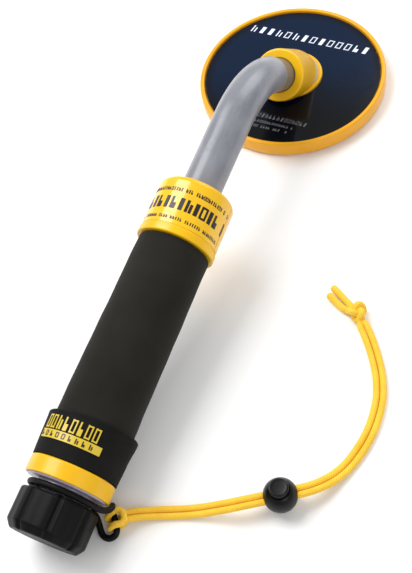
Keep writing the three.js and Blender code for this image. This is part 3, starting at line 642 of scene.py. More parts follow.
def makePrintTree():  # a line of plain blocks, some hollow and some stepped, with gaps between groups
    tree, kit, given = startTree("printBlocks", {
        "Length": "Float", "Height": "Float", "Width": "Float", "Stroke": "Float", "Count": "Int",
        "Thickness": "Float", "Gaps": "Float", "Seed": "Int", "Look": "Material",
    })

    def bar(x, y, wide, tall):  # from shares of the block's width and height
        size = kit.add("ShaderNodeCombineXYZ", None, {"X": wide, "Y": tall, "Z": given["Thickness"]})
        block = kit.add("GeometryNodeMeshCube", None, {"Size": size})
        shift = kit.add("ShaderNodeCombineXYZ", None, {"X": given["Width"] * x, "Y": given["Height"] * y})
        return kit.add("GeometryNodeTransform", None, {"Geometry": block, "Translation": shift})

    def joined(parts):
        join = kit.add("GeometryNodeJoinGeometry")
        for part in parts:
            kit.tree.links.new(part.socket, join.socket.node.inputs[0])
        return join

    stroke, width, height = given["Stroke"], given["Width"], given["Height"]
    solid = joined([bar(0.0, 0.5, width * 0.62, height)])
    hollow = joined([bar(-0.38, 0.5, stroke, height), bar(0.38, 0.5, stroke, height),
                     bar(0.0, 0.93, width * 0.7, stroke), bar(0.0, 0.07, width * 0.7, stroke)])
    stepped = joined([bar(-0.3, 0.5, stroke * 1.2, height), bar(0.1, 0.25, width * 0.5, height * 0.5)])
    pair = joined([bar(-0.25, 0.5, stroke * 1.3, height), bar(0.3, 0.36, stroke * 1.3, height * 0.72)])
    kinds = (pair, stepped, hollow, solid)
    shapes = joined([kit.add("GeometryNodeGeometryToInstance", None, {0: shape}) for shape in kinds])
    step = given["Length"] / given["Count"]
    offset = kit.add("ShaderNodeCombineXYZ", None, {"X": step})
    line = kit.add("GeometryNodeMeshLine", {"mode": "OFFSET"}, {"Count": given["Count"], "Offset": offset})
    chance = {"Probability": given["Gaps"], "Seed": given["Seed"]}
    drop = kit.add("FunctionNodeRandomValue", {"data_type": "BOOLEAN"}, chance, 3)
    kept = kit.add("GeometryNodeDeleteGeometry", {"domain": "POINT"}, {"Geometry": line, "Selection": drop})
    among = {4: 0, 5: len(kinds) - 1, "Seed": given["Seed"] + 3}
    choice = kit.add("FunctionNodeRandomValue", {"data_type": "INT"}, among, 2)
    marks = kit.add("GeometryNodeInstanceOnPoints", None, {
        "Points": kept, "Instance": shapes, "Pick Instance": True, "Instance Index": choice,
    })
    endTree(kit, marks, given["Look"])
    return tree


sweepTree, knobTree, printTree = makeSweepTree(), makeKnobTree(), makePrintTree()


def curveThrough(name, points, radii=None, cyclic=False):
    data = bpy.data.curves.new(name, "CURVE")
    data.dimensions = "3D"
    spline = data.splines.new("POLY")
    spline.points.add(len(points) - 1)
    spline.use_cyclic_u = cyclic
    for i, point in enumerate(points):
        spline.points[i].co = (*point, 1.0)
        spline.points[i].radius = radii[i] if radii else 1.0
    curve = bpy.data.objects.new(name, data)
    bpy.context.collection.objects.link(curve)
    return curve


def smoothRoute(anchors, gap):
    # a centripetal curve through the anchors, as evenly spaced points
    padded = [2 * anchors[0] - anchors[1], *anchors, 2 * anchors[-1] - anchors[-2]]
    fine = []
    for p0, p1, p2, p3 in zip(padded, padded[1:], padded[2:], padded[3:]):
        d0, d1, d2 = (max((b - a).length ** 0.5, 1e-4) for a, b in ((p0, p1), (p1, p2), (p2, p3)))
        t1 = ((p1 - p0) / d0 - (p2 - p0) / (d0 + d1) + (p2 - p1) / d1) * d1
        t2 = ((p2 - p1) / d1 - (p3 - p1) / (d1 + d2) + (p3 - p2) / d2) * d1
        square, cube = 3 * (p2 - p1) - 2 * t1 - t2, 2 * (p1 - p2) + t1 + t2
        for k in range(24):
            s = k / 24
            fine.append(p1 + t1 * s + square * s * s + cube * s ** 3)
    fine.append(anchors[-1])
    return evenly(fine, gap)


def evenly(points, gap):
    reach = [0.0]
    for a, b in zip(points, points[1:]):
        reach.append(reach[-1] + (b - a).length)
    count = max(2, round(reach[-1] / gap))
    out, i = [], 0
    for k in range(count + 1):
        want = reach[-1] * k / count
        while i < len(points) - 2 and reach[i + 1] < want:
            i += 1
        share = (want - reach[i]) / max(reach[i + 1] - reach[i], 1e-9)
        out.append(points[i].lerp(points[i + 1], min(share, 1.0)))
    return out


def routeLength(points):
    return sum((b - a).length for a, b in zip(points, points[1:]))


def roundEnd(points, radius):
    # close points past the last one, so that the tube ends in a soft dome
    way = (points[-1] - points[-2]).normalized()
    steps = (0.35, 0.6, 0.8, 0.93, 0.985)
    dome = [points[-1] + way * radius * a for a in steps]
    return [*points, *dome], [1.0] * len(points) + [math.sqrt(1 - a * a) for a in steps]


def sweptPiece(name, points, radius, look, sides=24, radii=None, cyclic=False):
    mesh = grow(curveThrough(name, points, radii, cyclic), sweepTree,
                Radius=radius, Sides=sides, Caps=not cyclic, Look=looks[look])
    return newPiece(name, mesh, weighted=False)


# the wrist lanyard and its tether

lanyardPlan = {  # places are in millimetres from the hitch; the cord's and the strand's sizes are in metres
    "cord": 0.004, "full": 1.03, "spacing": 4.3, "knotFull": 1.14, "tailFull": 1.08, "frayed": 0.14,
    "gap": 0.0018, "fineGap": 0.0012, "intoKnot": 0.0012, "tailRoot": (-0.002, 0, -0.0012),
    "lock": (87.6, 48.4, 10.5), "lockAlong": (0.8387, 0.5446, 0.0), "straight": (-29, -21, -12, 0, 7, 13.5),
    "before": [(4.8, 5, 6.2), (10.3, 8.8, 5), (18.8, 13.6, 2.7), (27.8, 17.6, 2.1), (37.8, 21.8, 2.4),
               (47.8, 25.8, 5), (56.3, 29.2, 8.6)],
    "after": [(105.6, 62.4, 8.2), (112, 72.4, 4), (116.4, 82, 2.2), (119.8, 94, 2.1), (121.6, 107, 2.1),
              (121.4, 120, 2.1), (119.2, 133.2, 2.1), (114, 146.6, 2.1), (107.2, 158.4, 2.1),
              (99.8, 168.8, 2.4), (93.6, 176, 3.6)],
    "knot": (86.3, 184, 5.2), "knotSize": (1.75, 1.65, 2.7), "knotTurn": 40,
    "tails": [[(79.4, 188.6, 3.4), (74.4, 192.0, 2.7), (69.4, 195.2, 2.6), (65.4, 197.6, 2.6)],
              [(79.2, 184, 3.2), (74.0, 186.0, 2.7), (69.0, 188.8, 2.6), (65.0, 191.2, 2.6)]],
    "hitchWrap": [(2.2, 4.6, -2.4), (2.5, 0, -4.1), (3.1, -4.1, -0.2), (4.0, -0.4, 4.1), (4.5, 3.4, 4.0),
                  (2.8, 5.6, 3.7), (0, 6.1, 3.7)],
    "hitchAlong": (0.68, -0.733, 0), "strandLength": 0.256,
}
hitchLow, hitchHigh = (Vector(c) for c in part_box("lanyard_hitch"))
hitchMiddle = (hitchLow + hitchHigh) / 2
hitchAlong = Vector(lanyardPlan["hitchAlong"]).normalized()


def onLanyard(x, y, z):
    return Vector((hitchMiddle.x + x * mm, hitchMiddle.y + y * mm, z * mm))


def strandRoute(side):
    plan = lanyardPlan
    lock, way = Vector(plan["lock"]), Vector(plan["lockAlong"])
    anchors = [*plan["before"], *(tuple(lock + way * d) for d in plan["straight"]), *plan["after"]]
    middle = smoothRoute([onLanyard(*a) for a in anchors], plan["gap"])
    route = []
    for i, point in enumerate(middle):
        ahead = middle[min(i + 1, len(middle) - 1)] - middle[max(i - 1, 0)]
        over = Vector((-ahead.y, ahead.x, 0)).normalized()
        route.append(point + over * (side * plan["spacing"] / 2 * mm))
    inset = plan["intoKnot"]
    inKnot = onLanyard(*plan["knot"]) + Vector((side * inset, 0, -inset))
    return route + evenly([route[-1], route[-1].lerp(inKnot, 0.5), inKnot], plan["gap"])[1:]


def hitchRoute(starts):
    # up over the rubber loop, round it, and across both strands
    across = Vector((0, 0, 1)).cross(hitchAlong)  # points along the cord, away from the loop
    half = lanyardPlan["hitchWrap"]
    wraps = [*half, *((-a, b, c) for a, b, c in reversed(half[:-1]))]
    turns = [hitchMiddle + (hitchAlong * a + across * b + Vector((0, 0, c))) * mm for a, b, c in wraps]
    last, first = sorted(starts, key=lambda p: (p - hitchMiddle).dot(hitchAlong))
    return smoothRoute([first, *turns, last], lanyardPlan["fineGap"])


tetherPlan = {
    "radius": 2.0, "around": 21.5, "beside": 29.4, "place": 210.0,
    "wayIn": [(0.9, -42.6, -7.6), (0.4, -33.7, -7.1), (0.2, -23.5, -4), (-2.6, -15.2, -0.5)],
    "wayOut": [(-6, -55.5, 0.4), (-1, -50.7, 3), (2.2, -48.8, 9), (5.3, -43.8, 13), (9.6, -37.3, 11)],
    "inHitch": (0.15, 3.0, 6.0, 8.0), "ease": 16, "gap": 0.0015, "length": 0.186,
}


def tetherRoute(plan):
    def polar(radius, angle, behind):
        turn = math.radians(angle)
        return onHandle(radius * math.cos(turn) * mm, radius * math.sin(turn) * mm, behind * mm)
    leg = [polar(plan["beside"] + r, angle, plan["place"] + back) for r, angle, back in plan["wayIn"]]
    ring = [polar(plan["around"], 10 + 30 * i, plan["place"]) for i in range(10)]
    away = [polar(plan["beside"] + r, angle, plan["place"] + back) for r, angle, back in plan["wayOut"]]
    inside = [hitchMiddle - hitchAlong * d * mm for d in plan["inHitch"]]
    outside = [hitchMiddle + hitchAlong * d * mm for d in reversed(plan["inHitch"])]
    line = smoothRoute([*inside, *leg, *ring, *away, *outside], plan["gap"])
    for _ in range(plan["ease"]):  # rubber takes no sharp corner
        line = [line[0], *((a + b * 2 + c) / 4 for a, b, c in zip(line, line[1:], line[2:])), line[-1]]
    return evenly(line, plan["gap"])


def knotRoute(plan):
    # a trefoil pulled tight
    middle, turn = onLanyard(*plan["knot"]), math.radians(plan["knotTurn"])
    a, b, c = plan["knotSize"]
    points = []
    for k in range(72):
        t = 2 * math.pi * k / 72
        x = a * (math.sin(t) + 2 * math.sin(2 * t))
        y = b * (math.cos(t) - 2 * math.cos(2 * t))
        across = x * math.cos(turn) - y * math.sin(turn)
        ahead = x * math.sin(turn) + y * math.cos(turn)
        points.append(middle + Vector((across, ahead, -c * math.sin(3 * t))) * mm)
    return points


def makeLanyard(plan):
    half = plan["cord"] / 2
    strands = [strandRoute(1), strandRoute(-1)]
    pieces = []
    for name, route in zip(("strandA", "strandB"), strands):
        pieces.append(sweptPiece(name, route, half * plan["full"], "braidedCord"))
    hitch = sweptPiece("cordHitch", hitchRoute([s[0] for s in strands]), half * plan["full"], "braidedCord")
    knot = sweptPiece("cordKnot", knotRoute(plan), half * plan["knotFull"], "braidedCord", cyclic=True)
    tails = []
    root = onLanyard(*plan["knot"]) + Vector(plan["tailRoot"])
    for name, route in zip(("tailA", "tailB"), plan["tails"]):
        line = smoothRoute([root, *(onLanyard(*p) for p in route)], plan["fineGap"])
        points, radii = roundEnd(line, half)
        for i in range(len(radii)):  # frayed, then melted
            radii[i] *= plan["tailFull"] + plan["frayed"] * min(i / len(line), 1.0)
        tails.append(sweptPiece(name, points, half, "braidedCord", radii=radii))
    ends = ("strand_a", "strand_b", "hitch", "knot", "tail_a", "tail_b")
    for piece, end in zip((*pieces, hitch, knot, *tails), ends):
        settle(piece, None, "housing", "yellow_cord", "lanyard_" + end)
    loop = tetherRoute(tetherPlan)
    tether = sweptPiece("tetherLoop", loop, tetherPlan["radius"] * mm, "softRubber")
    settle(tether, None, "housing", "rubber", "tether_loop")
    return pieces, strands, [hitch, knot, *tails], tether, loop


strandPieces, strandRoutes, onCord, tether, tetherLine = makeLanyard(lanyardPlan)
print("lanyard made, strand of", round(routeLength(strandRoutes[0]), 4))
print("tether made, length", round(routeLength(tetherLine), 4))


# the ball cord lock

lockPlan = {
    "radius": 10.5, "slot": (8.9, 4.6), "well": 6.1, "wellFloor": -6.3, "pit": (4.4, -9.0), "button": 5.9,
    "top": 12.7, "foot": -3.5, "travel": 2.6, "wire": 0.3, "turns": 5, "closed": 0.75,
}


def makeCordLock(plan):
    middle = onLanyard(*lanyardPlan["lock"])
    way = Vector(lanyardPlan["lockAlong"]).normalized()
    over = Vector((-way.y, way.x, 0))

    def onLock(x, y, z):
        return middle + way * x + over * y + Vector((0, 0, z))

    def slot(name, low, high):  # where the cord passes, rounded along it
        cutter = bmesh.new()
        bmesh.ops.create_cube(cutter, size=1.0)
        for vert in cutter.verts:
            x, y, z = vert.co
            height = (low + high) / 2 + z * (high - low)
            vert.co = onLock(x * 40 * mm, y * plan["slot"][0] * mm, height * mm)
        edges = []
        for edge in cutter.edges:
            run = edge.verts[0].co - edge.verts[1].co
            if abs(run.normalized().dot(way)) > 0.9:
                edges.append(edge)
        bmesh.ops.bevel(cutter, geom=edges, offset=2 * mm, segments=5, affect="EDGES")
        return newPiece(name, cutter, weighted=False)

    r, well, wellFloor = plan["radius"], plan["well"], plan["wellFloor"]
    pit, pitFloor = plan["pit"]
    ball = [(0.0, -r, 0)]
    rim = math.degrees(math.acos((well + 0.55) / r))
    for k in range(1, 45):
        angle = math.radians(-90 + (90 + rim) * k / 44)
        ball.append((r * math.cos(angle), r * math.sin(angle), 0))
    lip = r * math.sin(math.radians(rim))
    ball += [
        (well + 0.3, lip + 0.18, 0), (well + 0.05, lip + 0.05, 0), (well, lip - 0.35, 0),
        (well, wellFloor + 0.1, 0), (pit, wellFloor, 0), (pit, pitFloor, 0), (0.0, pitFloor, 0),
    ]
    shell = newPiece("ballBlank", turnedMesh(softened(ball), onLock, 96), weighted=False)
    height = plan["slot"][1] / 2
    carved = carve(shell, [slot("cutA", -height, height)])
    settle(newPiece("lockBall", carved), "glossBlack", "cord_lock", "black_plastic", "cord_lock_ball")
    wide, top, foot = plan["button"], plan["top"], plan["foot"]
    stem = softened([
        (0.0, foot, 0), (wide, foot, 0.4), (wide, top, 1.3), (wide - 2.1, top - 0.25, 0.8),
        (0.0, top - 0.45, 0),
    ])
    plunger = newPiece("buttonBlank", turnedMesh(stem, onLock, 72), weighted=False)
    carved = carve(plunger, [slot("cutB", -height, height + plan["travel"])])
    settle(newPiece("lockButton", carved), "glossBlack", "lock_button", "black_plastic", "cord_lock_button")
    makeLockSpring(plan)


def makeLockSpring(plan):
    low, high = (Vector(c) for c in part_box("cord_lock_spring"))
    wire, length = plan["wire"] * mm, high.z - low.z
    middle, radius = (low + high) / 2, (high.x - low.x) / 2 - wire
    turns, closed, steps = plan["turns"], plan["closed"], 28
    line = []
    for k in range(turns * steps + 1):
        angle = 2 * math.pi * k / steps
        share = k / (turns * steps)
        rise = min(max((share * turns - closed) / (turns - 2 * closed), 0.0), 1.0)
        line.append(Vector((
            middle.x + radius * math.cos(angle), middle.y + radius * math.sin(angle),
            low.z + wire + (length - 2 * wire) * (0.12 * share + 0.88 * rise),
        )))
    spring = sweptPiece("lockSpring", line, wire, "brightSteel", sides=10)
    settle(spring, None, "cord_lock", "steel", "cord_lock_spring")
    (length - plan["travel"] * mm) / length
    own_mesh(spring)


makeCordLock(lockPlan)
print("cord lock made")

withPieces = [*onCord, "lockBall", "lockButton", "lockSpring"]
for piece, route, extras in zip(strandPieces, strandRoutes, (withPieces, [])):
    tuple(route[0])
    [tuple(p) for p in route]
    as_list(extras)
tuple(tetherLine[0])
[tuple(p) for p in tetherLine]


# search disc

labelLow, labelHigh = boxOf("disc_face_label")
dishHigh = boxOf("disc_dish")[1]
discPlan = {
    "radius": dishHigh[0], "height": 13.4, "rim": 3.8, "label": labelHigh[2], "ledge": 3.2, "floor": 2.6,
    "cover": boxOf("disc_cover")[0][2], "passage": 7.5,
}


def turnedPiece(name, corners, look, slot, node, place=onFloor, sides=128, steps=6):
    mesh = turnedMesh(softened(corners, steps), place, sides)
    return settle(newPiece(name, mesh), look, "housing", slot, node)


def makeDisc(plan):
    r, h = plan["radius"], plan["height"]
    inner, seat = r - plan["rim"] + 0.3, plan["cover"] - 0.3
    ledge, floor = inner - plan["ledge"], plan["floor"]
    turnedPiece("searchDish", [
        (0.0, 0.0, 0), (r, 0.0, 4.0), (r, h, 1.5), (inner + 0.15, h, 1.2), (inner, seat, 0.15),
        (ledge, seat, 0.4), (ledge, floor, 0.8), (0.0, floor, 0),
    ], "dishMoulding", "yellow_plastic", "disc_dish", sides=192, steps=7)
    face, low, high = labelHigh[0], labelLow[2], plan["label"]
    hole = boxOf("hub_flange")[1][0] + 0.25
    turnedPiece("faceFilm", [
        (hole, low, 0), (face, low, 0), (face, high, 0.12), (hole, high, 0.12),
    ], "navyFilm", "navy_label", "disc_face_label", sides=192, steps=3)


def makeHub(plan):
    bore = plan["passage"]
    low, high = boxOf("hub_flange")
    r, base, top = high[0], low[2], high[2]
    turnedPiece("hubFlange", [
        (bore, base, 0), (r, base, 0.2), (r, top, 1.1), (bore, top, 0),
    ], "yellowMoulding", "yellow_plastic", "hub_flange")
    low, high = boxOf("hub_seal")
    r, base, top = high[0] + 0.35, low[2], high[2]
    turnedPiece("hubSeal", [
        (bore, base, 0), (r, base, 0.25), (r - 0.1, top, 0.25), (bore, top, 0),
    ], "sealant", "white_plastic", "hub_seal")


hubPlan = {
    "angle": 45, "radius": 19.0, "length": 31.0, "lip": 1.6, "socket": 12.45, "depth": 11.5, "cavity": 6.0,
}
hubLean = math.radians(hubPlan["angle"])
hubAxis = Vector((0, -math.cos(hubLean), math.sin(hubLean)))
hubCentre = Vector((0, 0, discPlan["label"] * mm))


def makeElbow(plan):
    over = aside.cross(hubAxis)

    def onHub(x, y, along):
        return hubCentre + aside * x + over * y + hubAxis * along

    r, end, socket = plan["radius"], plan["length"], plan["socket"]
    step, passage = end - plan["depth"], discPlan["passage"]
    heel = [math.radians(a) for a in range(0, 90, 3)]
    mesh = turnedMesh(softened([
        *((r * math.sin(a), -r * math.cos(a), 0) for a in heel),
        (r, 0.0, 0), (r, end, plan["lip"]), (socket, end, 0.7), (socket, step, 0.3),
        (passage, step, 0.3), (passage, plan["cavity"], 0), (0.0, plan["cavity"], 0),
    ]), onHub, 144)
    bmesh.ops.remove_doubles(mesh, verts=mesh.verts, dist=1e-7)
    cut = bmesh.ops.bisect_plane(
        mesh, geom=[*mesh.verts, *mesh.edges, *mesh.faces], plane_co=(0, 0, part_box("hub_elbow")[0][2]),
        plane_no=(0, 0, 1), clear_inner=True,
    )
    bmesh.ops.holes_fill(mesh, edges=[e for e in cut["geom_cut"] if isinstance(e, bmesh.types.BMEdge)])
    settle(newPiece("hubElbow", mesh), "yellowMoulding", "housing", "yellow_plastic", "hub_elbow")


makeDisc(discPlan)
makeHub(discPlan)
makeElbow(hubPlan)
print("disc and hub made")


# neck tube

neckPlan = {
    "radius": 13.35, "bend": 75.0, "inCollar": 14.7, "socketFloor": 19.8, "oval": 0.03, "ovalSide": 0.024,
    "slim": 0.92, "slimEnd": (48.0, 49.6),
}


def neckRoute(plan):
    # where the handle's axis meets the hub's axis, rounded off by the bend
    turn = hubAxis.angle(rearward)
    rise = handleStart - hubCentre
    flat = hubAxis.y * rearward.z - hubAxis.z * rearward.y
    alongHub = (rise.y * rearward.z - rise.z * rearward.y) / flat
    corner = hubCentre + hubAxis * alongHub
    cut = plan["bend"] * mm * math.tan(turn / 2)
    start, end = corner - hubAxis * cut, corner + rearward * cut
    inward = (rearward - hubAxis).normalized()
    centre = corner + inward * (plan["bend"] * mm / math.cos(turn / 2))
    points = evenly([hubCentre + hubAxis * plan["socketFloor"] * mm, start], 0.0006)[:-1]
    bent = len(points)
    for k in range(49):
        arm = (start - centre).normalized().slerp((end - centre).normalized(), k / 48)
        points.append(centre + arm * plan["bend"] * mm)
    points += evenly([end, handleStart + rearward * plan["inCollar"] * mm], 0.004)[1:]
    return points, centre, bent


def makeNeck(plan):
    route, centre, bent = neckRoute(plan)
    low, high = plan["slimEnd"]
    radii = []
    for point in route:
        s = min(max(((point - hubCentre).dot(hubAxis) / mm - low) / (high - low), 0.0), 1.0)
        radii.append(plan["slim"] + (1 - plan["slim"]) * s * s * (3 - 2 * s))
    tube = sweptPiece("neckTube", route, plan["radius"] * mm, "neckPipePaintedShade", sides=96, radii=radii)
    for vert in tube.data.vertices:  # the bend is pressed a little oval
        spot = Vector(vert.co)
        nearest = min(range(len(route)), key=lambda i: (route[i] - spot).length_squared)
        share = math.sin(math.pi * min(max((nearest - bent) / 48, 0), 1)) ** 2
        arm, out = spot - route[nearest], route[nearest] - centre
        out.normalize()
        flatter, wider = arm.dot(out) * plan["oval"], arm.x * plan["ovalSide"]
        vert.co = spot - out * (flatter * share) + aside * (wider * share)
    settle(tube, None, "housing", "grey_plastic", "neck_tube")


makeNeck(neckPlan)
print("neck made")


# handle: collars, sleeve and cuff

frontPlan = {
    "radius": 25.5, "lip": 26.3, "lipLength": 5.0, "round": 4.4, "tube": 13.65, "pipe": 21.4, "bore": 10.4,
    "shoulder": (15.0, 18.0),
}


def makeFrontCollar(plan):
    end = extent("front_collar")[1]
    r, lip, step = plan["radius"], plan["lip"], end - plan["lipLength"]
    tube, pipe, bore = plan["tube"], plan["pipe"], plan["bore"]
    near, far = plan["shoulder"]
    turnedPiece("frontCollar", [
        (tube, 0.0, 0.5), (r, 0.0, plan["round"]), (r, step, 0.35), (lip, step - 0.05, 0.7), (lip, end, 0.9),
        (pipe, end, 0.4), (pipe, far, 0), (bore, far, 0), (bore, near, 0), (tube, near, 0),
    ], "yellowMoulding", "yellow_plastic", "front_collar", onHandle, 144)


filmPlan = {"start": -6.0, "lap": 9.0, "thickness": 0.17, "rise": 0.1, "gap": 0.05, "edge": 0.06}


def makeCollarFilm(plan):
    # a printed film wound once round the collar, its end lapped over its start
    low, high, _ = extent("collar_label")
    edge, count = plan["edge"], 160
    mesh = bmesh.new()
    rings = []
    for k in range(count + 1):
        turn = (360 + plan["lap"]) * k / count
        angle = math.radians(plan["start"] + turn)
        r0 = frontPlan["radius"] + plan["gap"] + plan["rise"] * max(0.0, (turn - 330) / 30) ** 2
        r1 = r0 + plan["thickness"]
        ring = []
        for r, behind in ((r0, low), (r1, low + edge), (r1, high - edge), (r0, high)):
            x, up = r * math.cos(angle), r * math.sin(angle)
            ring.append(mesh.verts.new(onHandle(x * mm, up * mm, behind * mm)))
        rings.append(ring)
    for a, b in zip(rings, rings[1:]):
        for k in range(4):
            mesh.faces.new((a[k], a[(k + 1) % 4], b[(k + 1) % 4], b[k]))
    mesh.faces.new(rings[0])
    mesh.faces.new(rings[-1])
    settle(newPiece("collarFilm", mesh), "collarFilm", "housing", "yellow_label", "collar_label")


sleevePlan = {"round": 1.4, "ripple": 0.12, "taper": 1.2}


def makeSleeve(plan):
    near, far, wide = extent("grip_sleeve")
    inner, narrow, curve = frontPlan["pipe"], wide - plan["taper"], plan["round"]
    outline = [(inner, near, 0), (narrow - curve, near, 0)]
    for k in range(1, 7):
        a = math.radians(90 * k / 6)
        outline.append((narrow - curve * (1 - math.sin(a)), near + curve * (1 - math.cos(a)), 0))
    for k in range(1, 61):
        share = k / 60
        outline.append((narrow + (wide - narrow) * share, near + curve + (far - near - curve) * share, 0))
    outline.append((inner, far, 0))

    def rippled(radius, along, angle):
        if radius < (inner + 0.5) * mm:
            return radius, along
        wave = math.sin(3 * angle + along * 60) * math.sin(along * 210 + 2 * angle)
        wave += 0.6 * math.sin(5 * angle - along * 95)
        return radius + plan["ripple"] * mm * wave, along
    mesh = turnedMesh(softened(outline), onHandle, 144, rippled)
    settle(newPiece("gripSleeve", mesh), "neoprene", "housing", "neoprene", "grip_sleeve")


cuffPlan = {
    "inner": 25.45, "front": 3.0, "rear": 1.5, "bulge": 0.7, "bulgeAngle": -8, "round": 1.1, "slant": 1.25,
    "soft": (0.16, 0.1),
}


def makeCuff(plan):
    near, far, _ = extent("grip_cuff")
    inner, front, curve, length = plan["inner"], plan["front"], plan["round"], far - near
    outline = [(inner - 0.2, near, 0)]
    for k in range(9):  # the folded front edge
        a = math.radians(-90 + 180 * k / 8)
        outline.append((inner + front * (0.5 + 0.5 * math.sin(a)), near + curve * (1 - math.cos(a)), 0))
    for k in range(1, 33):
        share = k / 32
        thick = front + (plan["rear"] - front) * share ** 0.8
        outline.append((inner + thick, near + curve + (length - curve) * share, 0))
    outline.append((inner, far, 0))
    centre = math.radians(plan["bulgeAngle"])
    broad, fine = plan["soft"]

    def stretched(radius, along, angle):
        share = (along / mm - near) / length
        outer = min(max(0.0, (radius / mm - inner) / front), 1.0)
        turn = math.atan2(math.sin(angle - centre), math.cos(angle - centre))
        bulge = plan["bulge"] * math.exp(-(turn / 0.5) ** 2) * math.exp(-((share - 0.16) / 0.22) ** 2)
        soft = broad * math.sin(4 * angle + share * 3) * math.sin(math.pi * share)
        soft += fine * math.sin(9 * angle + 5 * share)
        slant = plan["slant"] * (1 - math.cos(angle)) * (1 - share) ** 2
        return radius + (bulge + soft) * outer * mm, along + slant * mm
    mesh = turnedMesh(softened(outline), onHandle, 144, stretched)
    settle(newPiece("gripCuff", mesh), "cuffSkin", "housing", "neoprene", "grip_cuff")


insertPlan = {
    "core": 17.75, "outer": 17.3, "bore": 16.3, "flange": 25.0, "flangeBack": 206.3, "flangeLength": 3.0,
    "socket": 25.3, "socketDepth": 2.4, "pitch": 3.0, "ridge": 0.75, "seal": (18.0, 215.8, 0.65, 0.6),
}


def makeRearCollar(plan):
    near, far, wide = extent("rear_collar")
    pipe, socket, floor = frontPlan["pipe"], plan["socket"], far - plan["socketDepth"]
    turnedPiece("rearCollar", [
        (pipe, near, 0.2), (wide, near, 1.6), (wide, far, 1.5), (socket, far, 0.35), (socket, floor, 0),
        (pipe, floor, 0),
    ], "yellowMoulding", "yellow_plastic", "rear_collar", onHandle, 144)


def makeInsert(plan):
    near, far, _ = extent("threaded_insert")
    back, core, bore, flange = plan["flangeBack"], plan["core"], plan["bore"], plan["flange"]
    front = back - plan["flangeLength"]
    turnedPiece("threadedInsert", [
        (bore, near, 0.3), (plan["outer"], near, 0.3), (plan["outer"], front, 0), (flange, front, 0.2),
        (flange, back, 0.7), (core, back, 0.5), (core, far, 0.8), (bore, far, 0.3),
    ], "greyMoulding", "grey_plastic", "threaded_insert", onHandle, 144)
    ring, place, thick, wide = plan["seal"]
    spans = ((back + 2.2, place - 1.6), (place + 1.6, far - 2.0))
    for i, (low, high) in enumerate(spans):
        count = int((high - low) / plan["pitch"] * 60)
        line = []
        for k in range(count + 1):
            angle, r = 2 * math.pi * k / 60, (core - 0.1) * mm
            behind = (low + plan["pitch"] * k / 60) * mm
            line.append(onHandle(r * math.cos(angle), -r * math.sin(angle), behind))
        fade = [min(1.0, 0.15 + min(k, count - k) / 14) for k in range(count + 1)]
        thread = sweptPiece(f"threadTurns{i + 1}", line, plan["ridge"] * mm, "greyMoulding", 10, fade)
        settle(thread, None, "housing", "grey_plastic")
    around = [math.radians(a) for a in range(0, 360, 20)]
    turnedPiece("sealRing", [
        (ring + thick * math.cos(a), place + wide * math.sin(a), 0) for a in around
    ], "softRubber", "rubber", "knob_seal_ring", onHandle, 96)


makeFrontCollar(frontPlan)
makeCollarFilm(filmPlan)
makeSleeve(sleevePlan)
makeCuff(cuffPlan)
makeRearCollar(insertPlan)
makeInsert(insertPlan)
print("handle made")


# screw knob

knobPlan = {
    "proud": 0.1, "lobes": 8, "depth": 1.6, "share": 0.26, "crown": 0.5, "chamfer": (3.4, 4.4), "front": 2.0,
    "shoulder": (21.0, 1.45), "cavity": 19.0, "cavityDepth": 16.0, "cup": 10.0, "cupDepth": 4.6,
}


def makeKnob(plan):
    near, far, wide = extent("rear_knob")
    top, length = wide + plan["proud"], far - near
    (inset, slope), (shoulder, ahead) = plan["chamfer"], plan["shoulder"]
    outline = softened([
        (0, -ahead, 0), (shoulder, -ahead, 0.4), (shoulder, 0, 0.3), (top, 0, plan["front"]),
        (top, length - slope, 3.2), (top - inset, length, 1.9), (top - inset - 3.6, length, 0.5),
        (top - inset - 4.3, length - 0.6, 0.4), (0, length - 0.6, 0),
    ], 5, 1.0)
    outline = [p for p in outline if p[0] > 0.01]
    points = []
    for i, (_, behind) in enumerate(outline):  # each a little further back, so that none coincide
        points.append(onHandle(0.0, 0.0, (near + behind + 0.0001 * i) * mm))
    mesh = grow(curveThrough("knobLine", points, [p[0] / top for p in outline]), knobTree, **{
        "Radius": top * mm, "Lobes": float(plan["lobes"]), "Groove Depth": plan["depth"] * mm,
        "Groove Share": plan["share"], "Crown": plan["crown"] * mm, "Look": looks["blackMoulding"],
    })
    blank = newPiece("knobBlank", mesh, weighted=False)
    depth, cup = plan["cavityDepth"], plan["cup"]
    cutters = []
    for name, radius, start, end in (
        ("cavityCut", plan["cavity"], -3.0, depth), ("cupCut", cup, depth - 1, depth + plan["cupDepth"]),
    ):
        low, high = near + start, near + end
        tool = softened([(0.0, low, 0), (radius, low, 0), (radius, high, 0), (0.0, high, 0)])
        cutters.append(newPiece(name, turnedMesh(tool, onHandle, 96), weighted=False))
    carved = newPiece("screwKnob", carve(blank, cutters), sharp=30)
    settle(carved, "blackMoulding", "knob", "black_plastic", "rear_knob")


makeKnob(knobPlan)
print("knob made")


# printed marks: plain strokes and bars in place of wording

def flatMarks(name, sizes, seed, look, thickness=0.16):
    length, height, width, stroke, count, gaps = sizes
    bpy.ops.mesh.primitive_plane_add(size=0.001)
    data = grow(bpy.context.object, printTree, Length=length * mm, Height=height * mm, Width=width * mm,
                Stroke=stroke * mm, Count=count, Thickness=thickness * mm, Gaps=gaps, Seed=seed,
                Look=looks[look])
    return newPiece(name, data, weighted=False)


def bendMarks(piece, place):
    for vert in piece.data.vertices:
        vert.co = place(*vert.co)
    return piece


def aroundHandle(radius, startAngle, behind):
    # x runs round the handle, y towards the front, z outwards
    def place(x, y, z):
        angle = math.radians(startAngle) - x / (radius * mm)
        r = radius * mm + z
        return onHandle(r * math.cos(angle), r * math.sin(angle), behind * mm - y)
    return place


